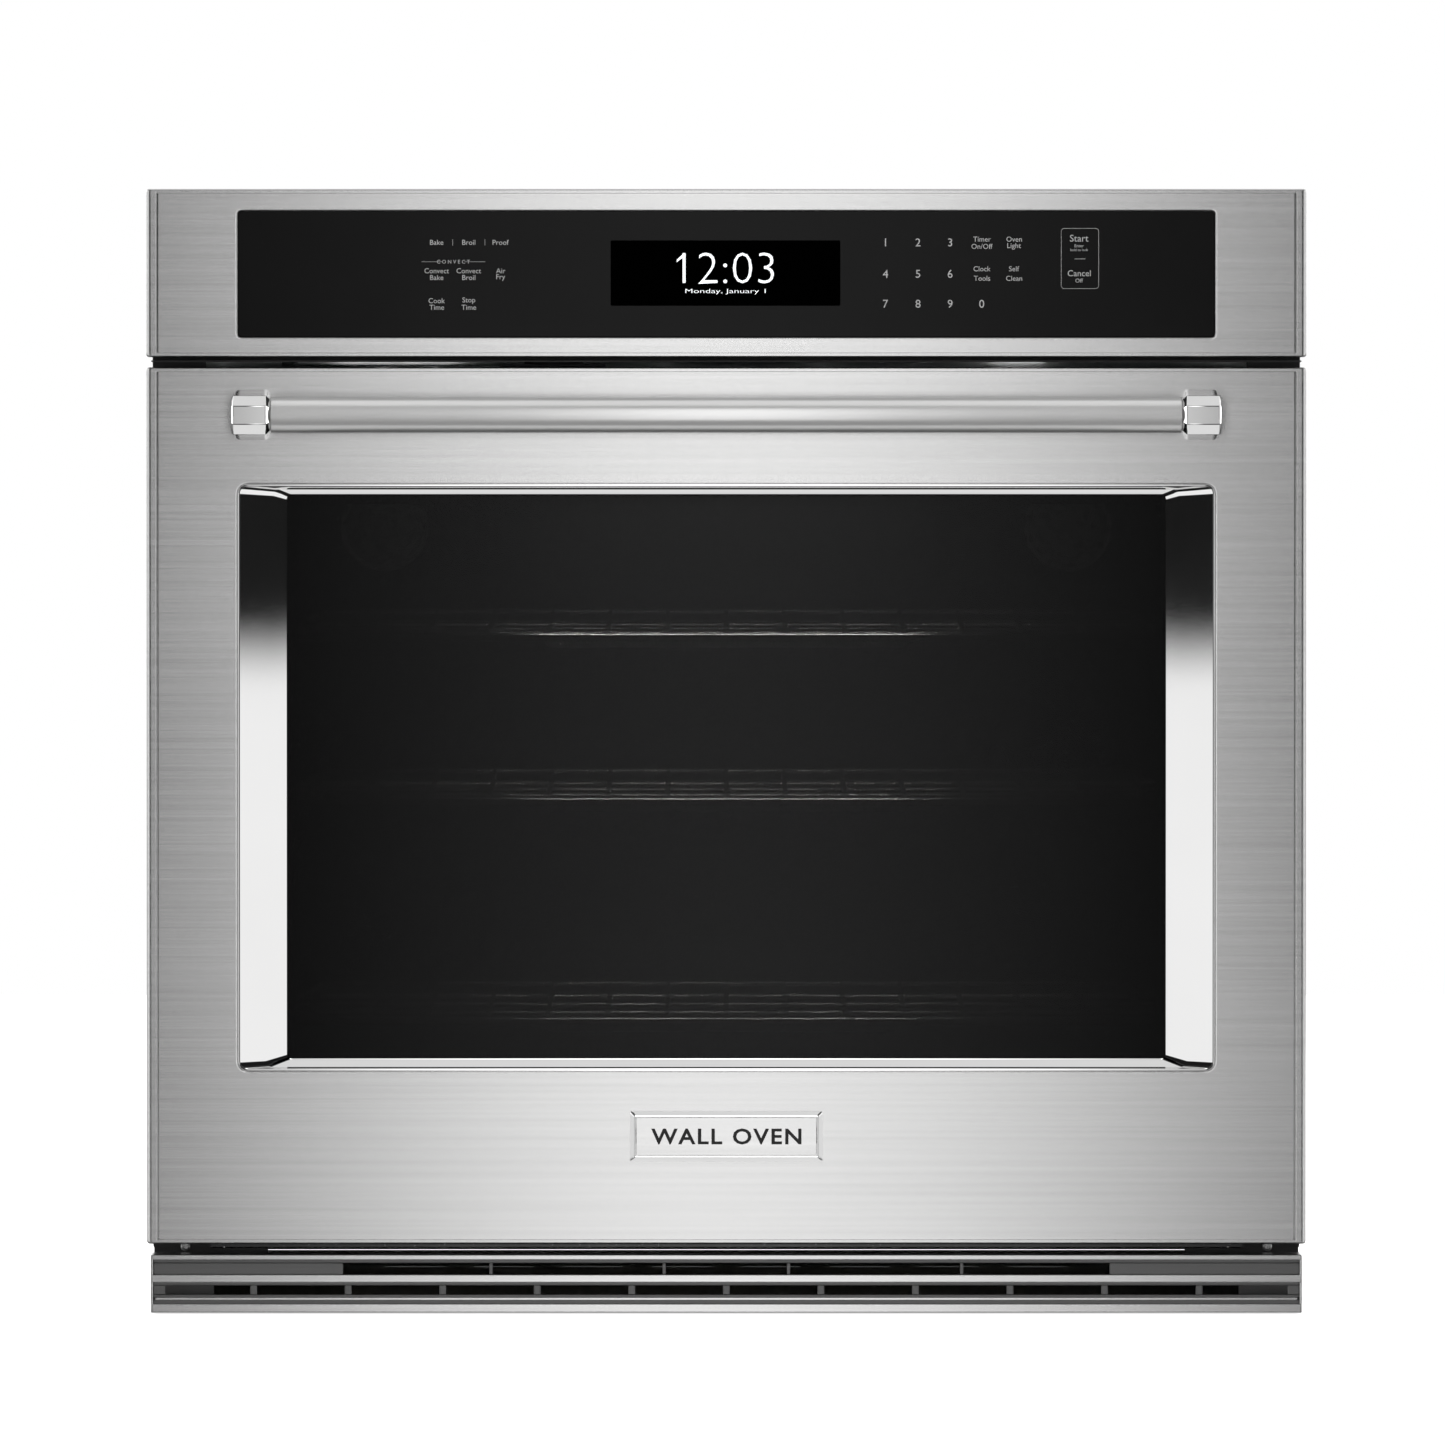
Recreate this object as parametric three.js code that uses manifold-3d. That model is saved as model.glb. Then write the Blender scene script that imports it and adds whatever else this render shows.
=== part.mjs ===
// A built-in single wall oven: chassis with an insulated cavity, a control console, a drop-down door
// on two sprung hinges, three sliding racks, a convection fan, a cooling blower and a door latch.
// Millimetres, +Z up. The front faces -Y. The origin is under the middle of the oven, on its base.

import * as THREE from "three";
import { mergeVertices } from "three/addons/utils/BufferGeometryUtils.js";
import Module from "manifold-3d";

const wasm = await Module();
wasm.setup();

// ---- Driving dimensions -----------------------------------------------------------------------

// Outside
const FRONT_WIDTH = 756;
const OVEN_HEIGHT = 733;
const OVERALL_DEPTH = 676;
const FRONT_OVERLAP = 19; // how far the front covers the cabinet, at each side
const CHASSIS_TOP_SETBACK = 13;

// Fits
const GAP = 0.3; // between pieces that touch
const SLIDE_GAP = 1; // beside a piece that moves past another
const CASING = 1; // sheet thickness of casings, skins and flanges
const ENAMEL_SHEET = 1;

// Console
const CONSOLE_HEIGHT = 109.6;
const CONSOLE_DEPTH = 38;
const CONSOLE_GLASS_SIDE = 59.8; // panel edge to glass edge
const CONSOLE_GLASS_BELOW = 13.1;
const CONSOLE_GLASS_HEIGHT = 82.1;
const CONSOLE_GLASS_THICKNESS = 4;
const CORNER_FOLD = 2.5; // radius of the folded vertical edges
const DISPLAY_WIDTH = 149.6;
const DISPLAY_HEIGHT = 42.6;
const DISPLAY_THICKNESS = 6;
const BOARD_THICKNESS = 1.6;

// Door
const DOOR_TOP_GAP = 6.6;
const DOOR_BOTTOM_GAP = 7.2;
const TRIM_HEIGHT = 37.8;
const DOOR_THICKNESS = 34.5;
const GASKET_GAP = 6.5; // door liner to cavity front frame
const DOOR_STILE = 59.5; // door edge to window cut-out, at the sides
const DOOR_TOP_RAIL = 76;
const DOOR_BOTTOM_RAIL = 112.8;
const WINDOW_CORNER = 6.5;
const BEZEL_SIDE = 31.6; // width of the sloping side faces
const BEZEL_TOP = 7.2;
const BEZEL_BOTTOM = 7.8;
const BEZEL_DEPTH = 11;
const BEZEL_FLANGE = 7;
const BEZEL_FLANGE_THICKNESS = 1.5;
const GLASS_THICKNESS = 4;
const MIDDLE_GLASS_THICKNESS = 3;
const GLASS_LAP = 14; // how far a pane runs behind its frame
const PANE_SPACING = 12;
const LINER_INSET = 6; // door edge to liner rim
const LINER_RIM = 12;
const INSULATION_IN_DOOR = 16;

// Handle
const HANDLE_REACH = 44; // door face to front of the handle ends
const HANDLE_Z_BELOW_DOOR_TOP = 30.8;
const HANDLE_LENGTH = 643.2;
const HANDLE_BAR_RADIUS = 11.65;
const HANDLE_END_SIZE = 25.4;
const HANDLE_END_CHAMFER = 6.7;
const HANDLE_POST_HEIGHT = 33;
const HANDLE_POST_WIDTH = 21.3;
const HANDLE_SPIGOT_RADIUS = 8;
const HANDLE_SPIGOT_LENGTH = 8;

// Badge
const BADGE_WIDTH = 125.6;
const BADGE_HEIGHT = 32.7;
const BADGE_THICKNESS = 2.6;
const BADGE_RIM = 2.5;
const BADGE_ABOVE_DOOR_BOTTOM = 70.3;

// Hinges
const HINGE_SETBACK = 12; // door face to pivot
const HINGE_ABOVE_DOOR_BOTTOM = 14;
const HINGE_INSET = 48; // door edge to the middle of the hinge
const HINGE_ARM_WIDTH = 12;
const HINGE_CHEEK = 1.8;
const HINGE_PIN_RADIUS = 4;
const HINGE_BOSS_RADIUS = 8.5;
const HINGE_ARM_HEIGHT = 13;
const HINGE_ARM_REACH = 66; // pivot to the end of the arm in the chassis
const HINGE_BODY_LENGTH = 130;
const SPRING_RADIUS = 5;
const SPRING_LENGTH = 84;
const SPRING_COILS = 9;
const RECEIVER_WALL = 1.5;
const RECEIVER_FOOT = 8;

// Lower vent trim, from the top down
const TRIM_DEPTH = 38;
const TRIM_END_INSET = 2.4;
const TRIM_LIP_TOP = 3.2;
const TRIM_SHADOW_STRIP = 2.3;
const TRIM_SLOT_HEIGHT = 7.5;
const TRIM_BAND = 4.9;
const TRIM_LOUVRE_HEIGHT = 10;
const TRIM_WALL = 1.6;
const TRIM_SLOT_HALF = 250;
const TRIM_DIVIDERS = [-153.6, -40.6, 40.6, 153.6];
const TRIM_RIB_WIDTH = 4.6;
const TRIM_RIB_PITCH = 61.7;
const TRIM_RIBS_EACH_SIDE = 5;

// Cavity
const CAVITY_SIDE_SPACE = 51; // chassis side to cavity side
const CAVITY_FLOOR = 118;
const CAVITY_CEILING_BELOW_DECK = 50;
const REAR_SPACE = 108; // cavity back to rear cover
const FRAME_MARGIN = 21; // chassis side to the edge of the front frame
const LEDGE_REACH = 11;
const LEDGE_HEIGHT = 8;
const LEDGE_FRONT = 14;
const LEDGE_REAR = 46;
const FIRST_RACK_ABOVE_FLOOR = 66;
const RACK_PITCH = 36;
const TOP_RACK_CLEARANCE = 118;

// Racks
const RACK_WIRE_RADIUS = 2.1;
const RACK_RAIL_RADIUS = 3.2;
const RACK_WIRES = 15;
const RACK_WIRE_PITCH = 39.1;
const RACK_FRONT_SETBACK = 23; // cavity mouth to front rail
const RACK_GRAB_HALF = 116;
const RACK_GRAB_DROP = 5;
const RACK_BACKSTOP = 9;

// Fan and heating elements
const FAN_HEIGHT_SHARE = 0.5; // fan axis, between cavity floor and ceiling
const FAN_RADIUS = 82;
const FAN_BLADES = 8;
const FAN_DEPTH = 20;
const FAN_SHAFT_RADIUS = 4;
const FAN_COVER_HALF = 150;
const FAN_COVER_DEPTH = 38;
const FAN_COVER_CORNER = 26;
const RING_RADIUS = 108;
const ELEMENT_RADIUS = 4;
const MOTOR_RADIUS = 40;
const MOTOR_LENGTH = 44;
const MOTOR_FOOT = 58; // motor axis to the end of its mounting strap
const INSULATION_THICKNESS = 46;
const INSULATION_BELOW = 34; // cavity floor to underside of the blanket

// Lamps and sensor
const LAMP_SIDE = 232;
const LAMP_BELOW_CEILING = 61;
const LAMP_RADIUS = 30;
const SENSOR_SIDE = 175;
const SENSOR_BELOW_CEILING = 24;
const SENSOR_LENGTH = 78;

// Cooling blower and duct
const BLOWER_RADIUS = 54;
const BLOWER_HEIGHT = 44;
const BLOWER_BLADES = 14;
const BLOWER_FROM_REAR = 112; // rear cover to the wheel axis
const DUCT_HALF_WIDTH = 100;
const DUCT_DEPTH = 26;

// Latch
const LATCH_X = -113;
const LATCH_PIVOT_BEHIND_FRAME = 28;
const LATCH_REACH = 50;
const LATCH_BARB = 10;
const LATCH_THICKNESS = 4;
const LATCH_BELOW_DOOR_TOP = 17;

// ---- Planes and lines worked out from them ----------------------------------------------------

const HALF_FRONT = FRONT_WIDTH / 2;
const HALF_CHASSIS = HALF_FRONT - FRONT_OVERLAP;
const Y_HANDLE = -OVERALL_DEPTH / 2;
const Y_REAR = OVERALL_DEPTH / 2;
const Y_FACE = Y_HANDLE + HANDLE_REACH;
const Y_DOOR_BACK = Y_FACE + DOOR_THICKNESS;
const Y_FRAME = Y_DOOR_BACK + GASKET_GAP;
const Y_CABINET = Y_FRAME + CASING;
const Y_CAVITY_FRONT = Y_CABINET + GAP;
const Y_CAVITY_BACK = Y_REAR - REAR_SPACE;

const Z_DOOR = TRIM_HEIGHT + DOOR_BOTTOM_GAP;
const Z_CONSOLE = OVEN_HEIGHT - CONSOLE_HEIGHT;
const Z_DOOR_TOP = Z_CONSOLE - DOOR_TOP_GAP;
const Z_CHASSIS_TOP = OVEN_HEIGHT - CHASSIS_TOP_SETBACK;
const Z_DECK = Z_DOOR_TOP - CASING;
const Z_CEILING = Z_DECK - CAVITY_CEILING_BELOW_DECK;
const Z_FAN = CAVITY_FLOOR + FAN_HEIGHT_SHARE * (Z_CEILING - CAVITY_FLOOR);
const Z_FIRST_RACK = CAVITY_FLOOR + FIRST_RACK_ABOVE_FLOOR;
const Z_LAMP = Z_CEILING - LAMP_BELOW_CEILING;
const Z_SENSOR = Z_CEILING - SENSOR_BELOW_CEILING;
const Z_LATCH = Z_DOOR_TOP - LATCH_BELOW_DOOR_TOP;
const Z_HINGE = Z_DOOR + HINGE_ABOVE_DOOR_BOTTOM;
const Z_HANDLE = Z_DOOR_TOP - HANDLE_Z_BELOW_DOOR_TOP;

const HALF_CAVITY = HALF_CHASSIS - CAVITY_SIDE_SPACE;
const HALF_FRAME = HALF_CHASSIS - FRAME_MARGIN;
const HALF_WINDOW = HALF_FRONT - DOOR_STILE;
const HALF_BEZEL = HALF_WINDOW - GAP;
const HALF_SIGHT = HALF_BEZEL - BEZEL_SIDE;
const Z_WINDOW_LOW = Z_DOOR + DOOR_BOTTOM_RAIL;
const Z_WINDOW_HIGH = Z_DOOR_TOP - DOOR_TOP_RAIL;
const Z_SIGHT_LOW = Z_WINDOW_LOW + GAP + BEZEL_BOTTOM;
const Z_SIGHT_HIGH = Z_WINDOW_HIGH - GAP - BEZEL_TOP;
const HINGE_X = HALF_FRONT - HINGE_INSET;
const Y_HINGE = Y_FACE + HINGE_SETBACK;
const RACK_POSITIONS = 1 + Math.floor((Z_CEILING - Z_FIRST_RACK - TOP_RACK_CLEARANCE) / RACK_PITCH);

// ---- Finishes ---------------------------------------------------------------------------------

function finish(color, roughness, metalness) {
  return new THREE.MeshStandardMaterial({ color, roughness, metalness });
}

const brushedSteel = () => finish(0xc4c5c6, 0.38, 1);
const satinSteel = () => finish(0xb8babc, 0.3, 1);
const polishedSteel = () => finish(0xe4e6e8, 0.08, 1);
const galvanised = () => finish(0xa9adaf, 0.5, 0.9);
const blackGlass = () => finish(0x0b0b0c, 0.06, 0);
const clearGlass = () => finish(0x20242a, 0.04, 0);
const enamel = () => finish(0x1b2028, 0.28, 0.1);
const blackSteel = () => finish(0x17181a, 0.45, 0.4);
const blanket = () => finish(0xd9cfa8, 0.95, 0);
const gasketBraid = () => finish(0x4a4c4e, 0.9, 0);
const element = () => finish(0x3a3836, 0.6, 0.6);
const castAluminium = () => finish(0x9a9c9e, 0.45, 0.9);
const wireSteel = () => finish(0xb0b2b5, 0.25, 1);
const board = () => finish(0x1d5a34, 0.6, 0);
const blackPlastic = () => finish(0x121213, 0.5, 0);

// ---- Geometry helpers -------------------------------------------------------------------------

// A closed box between two corners.
function box(x0, x1, y0, y1, z0, z1) {
  const shape = new THREE.BoxGeometry(x1 - x0, y1 - y0, z1 - z0);
  return shape.translate((x0 + x1) / 2, (y0 + y1) / 2, (z0 + z1) / 2);
}

// A cylinder from one point along an axis ("x", "y" or "z").
function rod(axis, start, length, radius, sides = 16, endRadius = radius) {
  const shape = new THREE.CylinderGeometry(endRadius, radius, length, sides);
  shape.translate(0, length / 2, 0);
  if (axis === "x") shape.rotateZ(-Math.PI / 2);
  if (axis === "z") shape.rotateX(Math.PI / 2);
  return shape.translate(...start);
}

function roundedRect(x0, x1, y0, y1, radius) {
  const shape = new THREE.Shape();
  shape.moveTo(x0 + radius, y0);
  shape.lineTo(x1 - radius, y0);
  shape.absarc(x1 - radius, y0 + radius, radius, -Math.PI / 2, 0);
  shape.lineTo(x1, y1 - radius);
  shape.absarc(x1 - radius, y1 - radius, radius, 0, Math.PI / 2);
  shape.lineTo(x0 + radius, y1);
  shape.absarc(x0 + radius, y1 - radius, radius, Math.PI / 2, Math.PI);
  shape.lineTo(x0, y0 + radius);
  shape.absarc(x0 + radius, y0 + radius, radius, Math.PI, 1.5 * Math.PI);
  return shape;
}

function polygon(points) {
  return new THREE.Shape(points.map(([x, y]) => new THREE.Vector2(x, y)));
}

function extrude(shape, depth, curveSegments = 2) {
  return new THREE.ExtrudeGeometry(shape, { depth, bevelEnabled: false, curveSegments });
}

// An outline in X and Y, pulled up from z0 to z1.
function upright(shape, z0, z1, curveSegments) {
  return extrude(shape, z1 - z0, curveSegments).translate(0, 0, z0);
}

// An outline in X and Z, pulled back from y0 to y1.
function facing(shape, y0, y1, curveSegments) {
  return extrude(shape, y1 - y0, curveSegments).rotateX(Math.PI / 2).translate(0, y1, 0);
}

// An outline in Y and Z, pulled along X from x0 to x1.
function sideways(shape, x0, x1, curveSegments) {
  const drawn = extrude(shape, x1 - x0, curveSegments);
  return drawn.rotateY(Math.PI / 2).rotateX(Math.PI / 2).translate(x0, 0, 0);
}

// A round tube that follows a list of points. An arc is sampled at two points per curve segment.
function tube(points, radius, steps, sides) {
  const section = new THREE.Shape();
  section.absarc(0, 0, radius, 0, 2 * Math.PI);
  const path = new THREE.CatmullRomCurve3(points.map((p) => new THREE.Vector3(...p)), false, "centripetal");
  return new THREE.ExtrudeGeometry(section, {
    extrudePath: path,
    steps,
    bevelEnabled: false,
    curveSegments: sides / 2,
  });
}

// A block whose rear rectangle differs from its front one; each is [x0, x1, z0, z1].
function taperedBlock(front, back, y0, y1) {
  const shape = new THREE.BoxGeometry(1, 1, 1);
  const place = shape.attributes.position;
  for (let i = 0; i < place.count; i++) {
    const atBack = place.getY(i) > 0;
    const [x0, x1, z0, z1] = atBack ? back : front;
    const x = place.getX(i) > 0 ? x1 : x0;
    const z = place.getZ(i) > 0 ? z1 : z0;
    place.setXYZ(i, x, atBack ? y1 : y0, z);
  }
  return shape;
}

// The manifold solid of a closed geometry.
function solid(geometry) {
  const bare = geometry.clone();
  bare.deleteAttribute("normal");
  bare.deleteAttribute("uv");
  const merged = mergeVertices(bare, 1e-4);
  return new wasm.Manifold(
    new wasm.Mesh({
      numProp: 3,
      vertProperties: new Float32Array(merged.attributes.position.array),
      triVerts: new Uint32Array(merged.index.array),
    }),
  );
}

function geometryOf(body) {
  const mesh = body.getMesh();
  const geometry = new THREE.BufferGeometry();
  geometry.setAttribute("position", new THREE.BufferAttribute(mesh.vertProperties, 3));
  geometry.setIndex(new THREE.BufferAttribute(mesh.triVerts, 1));
  geometry.computeVertexNormals();
  return geometry;
}

const joined = (geometries) => geometries.map(solid).reduce((all, next) => all.add(next));

// The first list of geometries joined, less the second list.
function build(added, removed = []) {
  const body = joined(added);
  return geometryOf(removed.length ? body.subtract(joined(removed)) : body);
}

function mirrored(geometry) {
  const turned = geometry.clone().scale(-1, 1, 1);
  const faces = turned.index.array;
  for (let i = 0; i < faces.length; i += 3) {
    const second = faces[i + 1];
    faces[i + 1] = faces[i + 2];
    faces[i + 2] = second;
  }
  return turned;
}

const evenly = (count, place) => Array.from({ length: count }, (_, i) => place(i));

const oven = new THREE.Group();

function group(name) {
  const made = new THREE.Group();
  made.name = name;
  oven.add(made);
  return made;
}

function piece(parent, name, geometry, material) {
  const mesh = new THREE.Mesh(geometry, material);
  mesh.name = name;
  parent.add(mesh);
}

// A piece and its mirror image across the middle plane. The drawn one is on the +X side.
function pair(parent, name, geometry, material) {
  piece(parent, name + "_right", geometry, material());
  piece(parent, name + "_left", mirrored(geometry), material());
}

// ---- Chassis ----------------------------------------------------------------------------------

const Y_CHASSIS_FRONT = Y_CABINET + 1.5;
const PAN_FLOOR = 7; // the pan's plate, above its rails
const PAN_WALL_TOP = 33;
const RAIL_WIDTH = 16;
const RAIL_INSET = 14;
const PAN_INLETS = 8;
const PAN_INLET_PITCH = 60;
const Y_PAN_INLETS = 120;

// A folded tray: its section has an upturned wall and a rail at each side.
function basePan() {
  const half = HALF_CHASSIS - CASING - GAP;
  const back = Y_REAR - CASING - GAP;
  const rail = half - RAIL_INSET;
  const railInner = rail - RAIL_WIDTH;
  const under = [[half, PAN_FLOOR], [rail, PAN_FLOOR], [rail, 0], [railInner, 0], [railInner, PAN_FLOOR]];
  const over = [[half - CASING, PAN_FLOOR + CASING], [half - CASING, PAN_WALL_TOP], [half, PAN_WALL_TOP]];
  const opposite = (points) => points.map(([x, z]) => [-x, z]).reverse();
  const section = polygon([...under, ...opposite(under), ...opposite(over), ...over]);
  const inlets = evenly(PAN_INLETS, (i) => {
    const x = (i - (PAN_INLETS - 1) / 2) * PAN_INLET_PITCH;
    return box(x - 20, x + 20, Y_PAN_INLETS, Y_PAN_INLETS + 8, 0, 2 * PAN_FLOOR);
  });
  return build([facing(section, Y_CHASSIS_FRONT, back)], inlets);
}

const PANEL_FOLD = 14; // width of the side panels' rear and top folds
const SIDE_SLOTS = 9;
const SIDE_SLOT_PITCH = 22;
const SIDE_SLOT_FROM_REAR = 60;
const SIDE_SLOT_LOW = Z_DECK + 34;
const SIDE_SLOT_HIGH = Z_DECK + 74;

function sidePanel() {
  const outer = HALF_CHASSIS;
  const inner = outer - CASING;
  const low = PAN_FLOOR + 2;
  const top = Z_CHASSIS_TOP;
  const sheet = box(inner, outer, Y_CHASSIS_FRONT, Y_REAR, low, top);
  const rearFold = box(inner - PANEL_FOLD, outer, Y_REAR - CASING, Y_REAR, low, top);
  const topFold = box(inner - PANEL_FOLD, outer, Y_CHASSIS_FRONT, Y_REAR, top - CASING, top);
  const slots = evenly(SIDE_SLOTS, (i) => {
    const y = Y_REAR - SIDE_SLOT_FROM_REAR - SIDE_SLOT_PITCH * i;
    return box(inner - 2, outer + 2, y - 4, y + 4, SIDE_SLOT_LOW, SIDE_SLOT_HIGH);
  });
  return build([sheet, rearFold, topFold], slots);
}

const REAR_SLOTS = 7;
const REAR_SLOT_PITCH = 10;
const REAR_SLOT_X = 225;
const REAR_SLOT_HALF = 42;
const REAR_SLOT_LOW = Z_DECK + 22;

function rearCover() {
  const half = HALF_CHASSIS - CASING - PANEL_FOLD - GAP;
  const low = PAN_FLOOR + CASING + GAP;
  const high = Z_CHASSIS_TOP - CASING - GAP;
  const slots = [-1, 1].flatMap((side) =>
    evenly(REAR_SLOTS, (i) => {
      const x = side * REAR_SLOT_X;
      const z = REAR_SLOT_LOW + REAR_SLOT_PITCH * i;
      return box(x - REAR_SLOT_HALF, x + REAR_SLOT_HALF, Y_REAR - 4, Y_REAR + 1, z, z + 4.5);
    }),
  );
  return build([box(-half, half, Y_REAR - CASING, Y_REAR, low, high)], slots);
}

const TOP_SLOTS = 10;
const TOP_SLOT_PITCH = 44;
const TOP_SLOT_HALF = 17;
const Y_TOP_SLOTS = -60;

function topCover() {
  const half = HALF_CHASSIS - CASING - PANEL_FOLD - GAP;
  const plate = box(-half, half, Y_CHASSIS_FRONT, Y_REAR - GAP, Z_CHASSIS_TOP - CASING, Z_CHASSIS_TOP);
  const conduitHole = rod("z", [TERMINAL_X, TERMINAL_Y, Z_CHASSIS_TOP - 10], 20, CONDUIT_RADIUS + SLIDE_GAP);
  const slots = evenly(TOP_SLOTS, (i) => {
    const x = (i - (TOP_SLOTS - 1) / 2) * TOP_SLOT_PITCH;
    const low = Z_CHASSIS_TOP - 5;
    return box(x - TOP_SLOT_HALF, x + TOP_SLOT_HALF, Y_TOP_SLOTS, Y_TOP_SLOTS + 6, low, low + 10);
  });
  return build([plate], [conduitHole, ...slots]);
}

function upperDeck() {
  const half = HALF_CHASSIS - CASING - GAP;
  const back = Y_REAR - CASING - GAP;
  const plate = box(-half, half, Y_CHASSIS_FRONT, back, Z_DECK, Z_DECK + CASING);
  const ventHole = rod("z", [VENT_X, VENT_Y, Z_DECK - 5], 10, VENT_RADIUS + SLIDE_GAP);
  const ductHole = box(
    -DUCT_HALF_WIDTH - SLIDE_GAP, DUCT_HALF_WIDTH + SLIDE_GAP,
    Y_DUCT - SLIDE_GAP, Y_DUCT + DUCT_DEPTH + SLIDE_GAP, Z_DECK - 5, Z_DECK + 5,
  );
  const latchHole = rod("z", [LATCH_X, Y_LATCH, Z_DECK - 5], 10, LATCH_SHAFT_RADIUS + SLIDE_GAP);
  return build([plate], [ventHole, ductHole, latchHole]);
}

const FLANGE_EDGE = 3; // the flange stays this far inside the door's edge
const FLANGE_LEG = 27;
const CABINET_SCREW_RADIUS = 2.6;
const CABINET_SCREWS = 4;
const CABINET_SCREW_MARGIN = 50;

function mountingFlange() {
  const outer = HALF_FRONT - FLANGE_EDGE;
  const inner = HALF_FRAME + 2;
  const legInner = HALF_CHASSIS - 2 * CASING - 2 * GAP - 1;
  const low = Z_DOOR - 4;
  const high = Z_CHASSIS_TOP - 2;
  const face = box(inner, outer, Y_FRAME, Y_CABINET, low, high);
  const legBack = Y_CABINET + FLANGE_LEG;
  const leg = box(legInner - CASING, legInner, Y_CABINET - GAP, legBack, PAN_WALL_TOP + 4, Z_DECK - 2);
  const span = high - low - 2 * CABINET_SCREW_MARGIN;
  const holes = evenly(CABINET_SCREWS, (i) => {
    const z = low + CABINET_SCREW_MARGIN + (span * i) / (CABINET_SCREWS - 1);
    return rod("y", [(HALF_CHASSIS + outer) / 2, Y_FRAME - 5, z], 12, CABINET_SCREW_RADIUS, 16);
  });
  return build([face, leg], holes);
}

// ---- Lower vent trim --------------------------------------------------------------------------

// The trim is a folded steel front: a lip, an air slot with dividers, a band, a louvre row, a lip.
function lowerVentTrim() {
  const half = HALF_FRONT - TRIM_END_INSET;
  const top = TRIM_HEIGHT;
  const back = Y_FACE + TRIM_DEPTH;
  const slotTop = top - TRIM_LIP_TOP - TRIM_SHADOW_STRIP;
  const slotLow = slotTop - TRIM_SLOT_HEIGHT;
  const bandLow = slotLow - TRIM_BAND;
  const louvreLow = bandLow - TRIM_LOUVRE_HEIGHT;
  const groove = louvreLow - TRIM_WALL;
  const lipHigh = groove - 2.4;
  const body = box(-half, half, Y_FACE, back, 0, top);
  const hollow = box(-half + TRIM_WALL, half - TRIM_WALL, Y_FACE + 9, back + 5, lipHigh, top - TRIM_WALL);
  const edges = [-TRIM_SLOT_HALF, ...TRIM_DIVIDERS, TRIM_SLOT_HALF];
  const slots = evenly(edges.length - 1, (i) =>
    box(edges[i] + TRIM_WALL, edges[i + 1] - TRIM_WALL, Y_FACE - 5, back - 12, slotLow, slotTop),
  );
  const shadow = box(-half - 5, half + 5, Y_FACE - 5, Y_FACE + 4, slotLow, top - TRIM_LIP_TOP);
  const recess = box(-half + 3, half - 3, Y_FACE - 5, Y_FACE + 3, louvreLow, bandLow);
  const lineCut = box(-half - 5, half + 5, Y_FACE - 5, Y_FACE + 3, lipHigh, groove);
  const inner = half - 8;
  const ribs = evenly(2 * TRIM_RIBS_EACH_SIDE + 1, (i) => (i - TRIM_RIBS_EACH_SIDE) * TRIM_RIB_PITCH);
  const stops = [-inner, ...ribs, inner];
  const louvres = evenly(stops.length - 1, (i) =>
    box(
      stops[i] + TRIM_RIB_WIDTH / 2, stops[i + 1] - TRIM_RIB_WIDTH / 2,
      Y_FACE - 5, Y_FACE + 12, louvreLow + 2, bandLow - 2,
    ),
  );
  return build([body], [hollow, ...slots, shadow, recess, lineCut, ...louvres]);
}

// ---- Console ----------------------------------------------------------------------------------

const Z_GLASS_LOW = Z_CONSOLE + CONSOLE_GLASS_BELOW;
const Z_GLASS_HIGH = Z_GLASS_LOW + CONSOLE_GLASS_HEIGHT;
const HALF_CONSOLE_GLASS = HALF_FRONT - CONSOLE_GLASS_SIDE;
const Z_DISPLAY = (Z_GLASS_LOW + Z_GLASS_HIGH) / 2;
const CONSOLE_SEAT = 1.2; // depth of the glass front behind the steel front, plus sheet
const Y_GLASS_BACK = Y_FACE + CONSOLE_SEAT + CONSOLE_GLASS_THICKNESS;

// A folded front: the outline in X and Y is a U with rounded outer corners.
function foldedFront(half, depth) {
  const outer = roundedFront(half, depth, CORNER_FOLD);
  const inner = roundedFront(half - CASING, depth + 5, CORNER_FOLD - CASING);
  return { outer, inner };
}

function roundedFront(half, depth, radius) {
  const front = Y_FACE + (CORNER_FOLD - radius);
  const back = Y_FACE + depth;
  const shape = new THREE.Shape();
  shape.moveTo(-half, back);
  shape.lineTo(-half, front + radius);
  shape.absarc(-half + radius, front + radius, radius, Math.PI, 1.5 * Math.PI);
  shape.lineTo(half - radius, front);
  shape.absarc(half - radius, front + radius, radius, 1.5 * Math.PI, 2 * Math.PI);
  shape.lineTo(half, back);
  return shape;
}

function controlPanelFrame() {
  const { outer, inner } = foldedFront(HALF_FRONT, CONSOLE_DEPTH);
  const shell = upright(outer, Z_CONSOLE, OVEN_HEIGHT, 3);
  const hollow = upright(inner, Z_CONSOLE + CASING, OVEN_HEIGHT - CASING);
  const opening = roundedRect(
    -HALF_CONSOLE_GLASS - GAP, HALF_CONSOLE_GLASS + GAP, Z_GLASS_LOW - GAP, Z_GLASS_HIGH + GAP, 2.5,
  );
  return build([shell], [hollow, facing(opening, Y_FACE - 5, Y_FACE + 5)]);
}

function controlGlass() {
  const shape = roundedRect(-HALF_CONSOLE_GLASS, HALF_CONSOLE_GLASS, Z_GLASS_LOW, Z_GLASS_HIGH, 2.2);
  return build([facing(shape, Y_FACE + CONSOLE_SEAT - 0.8, Y_GLASS_BACK)]);
}

const TOUCH_BOARD_MARGIN = 28;
const TOUCH_CHIPS = 4;

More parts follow.
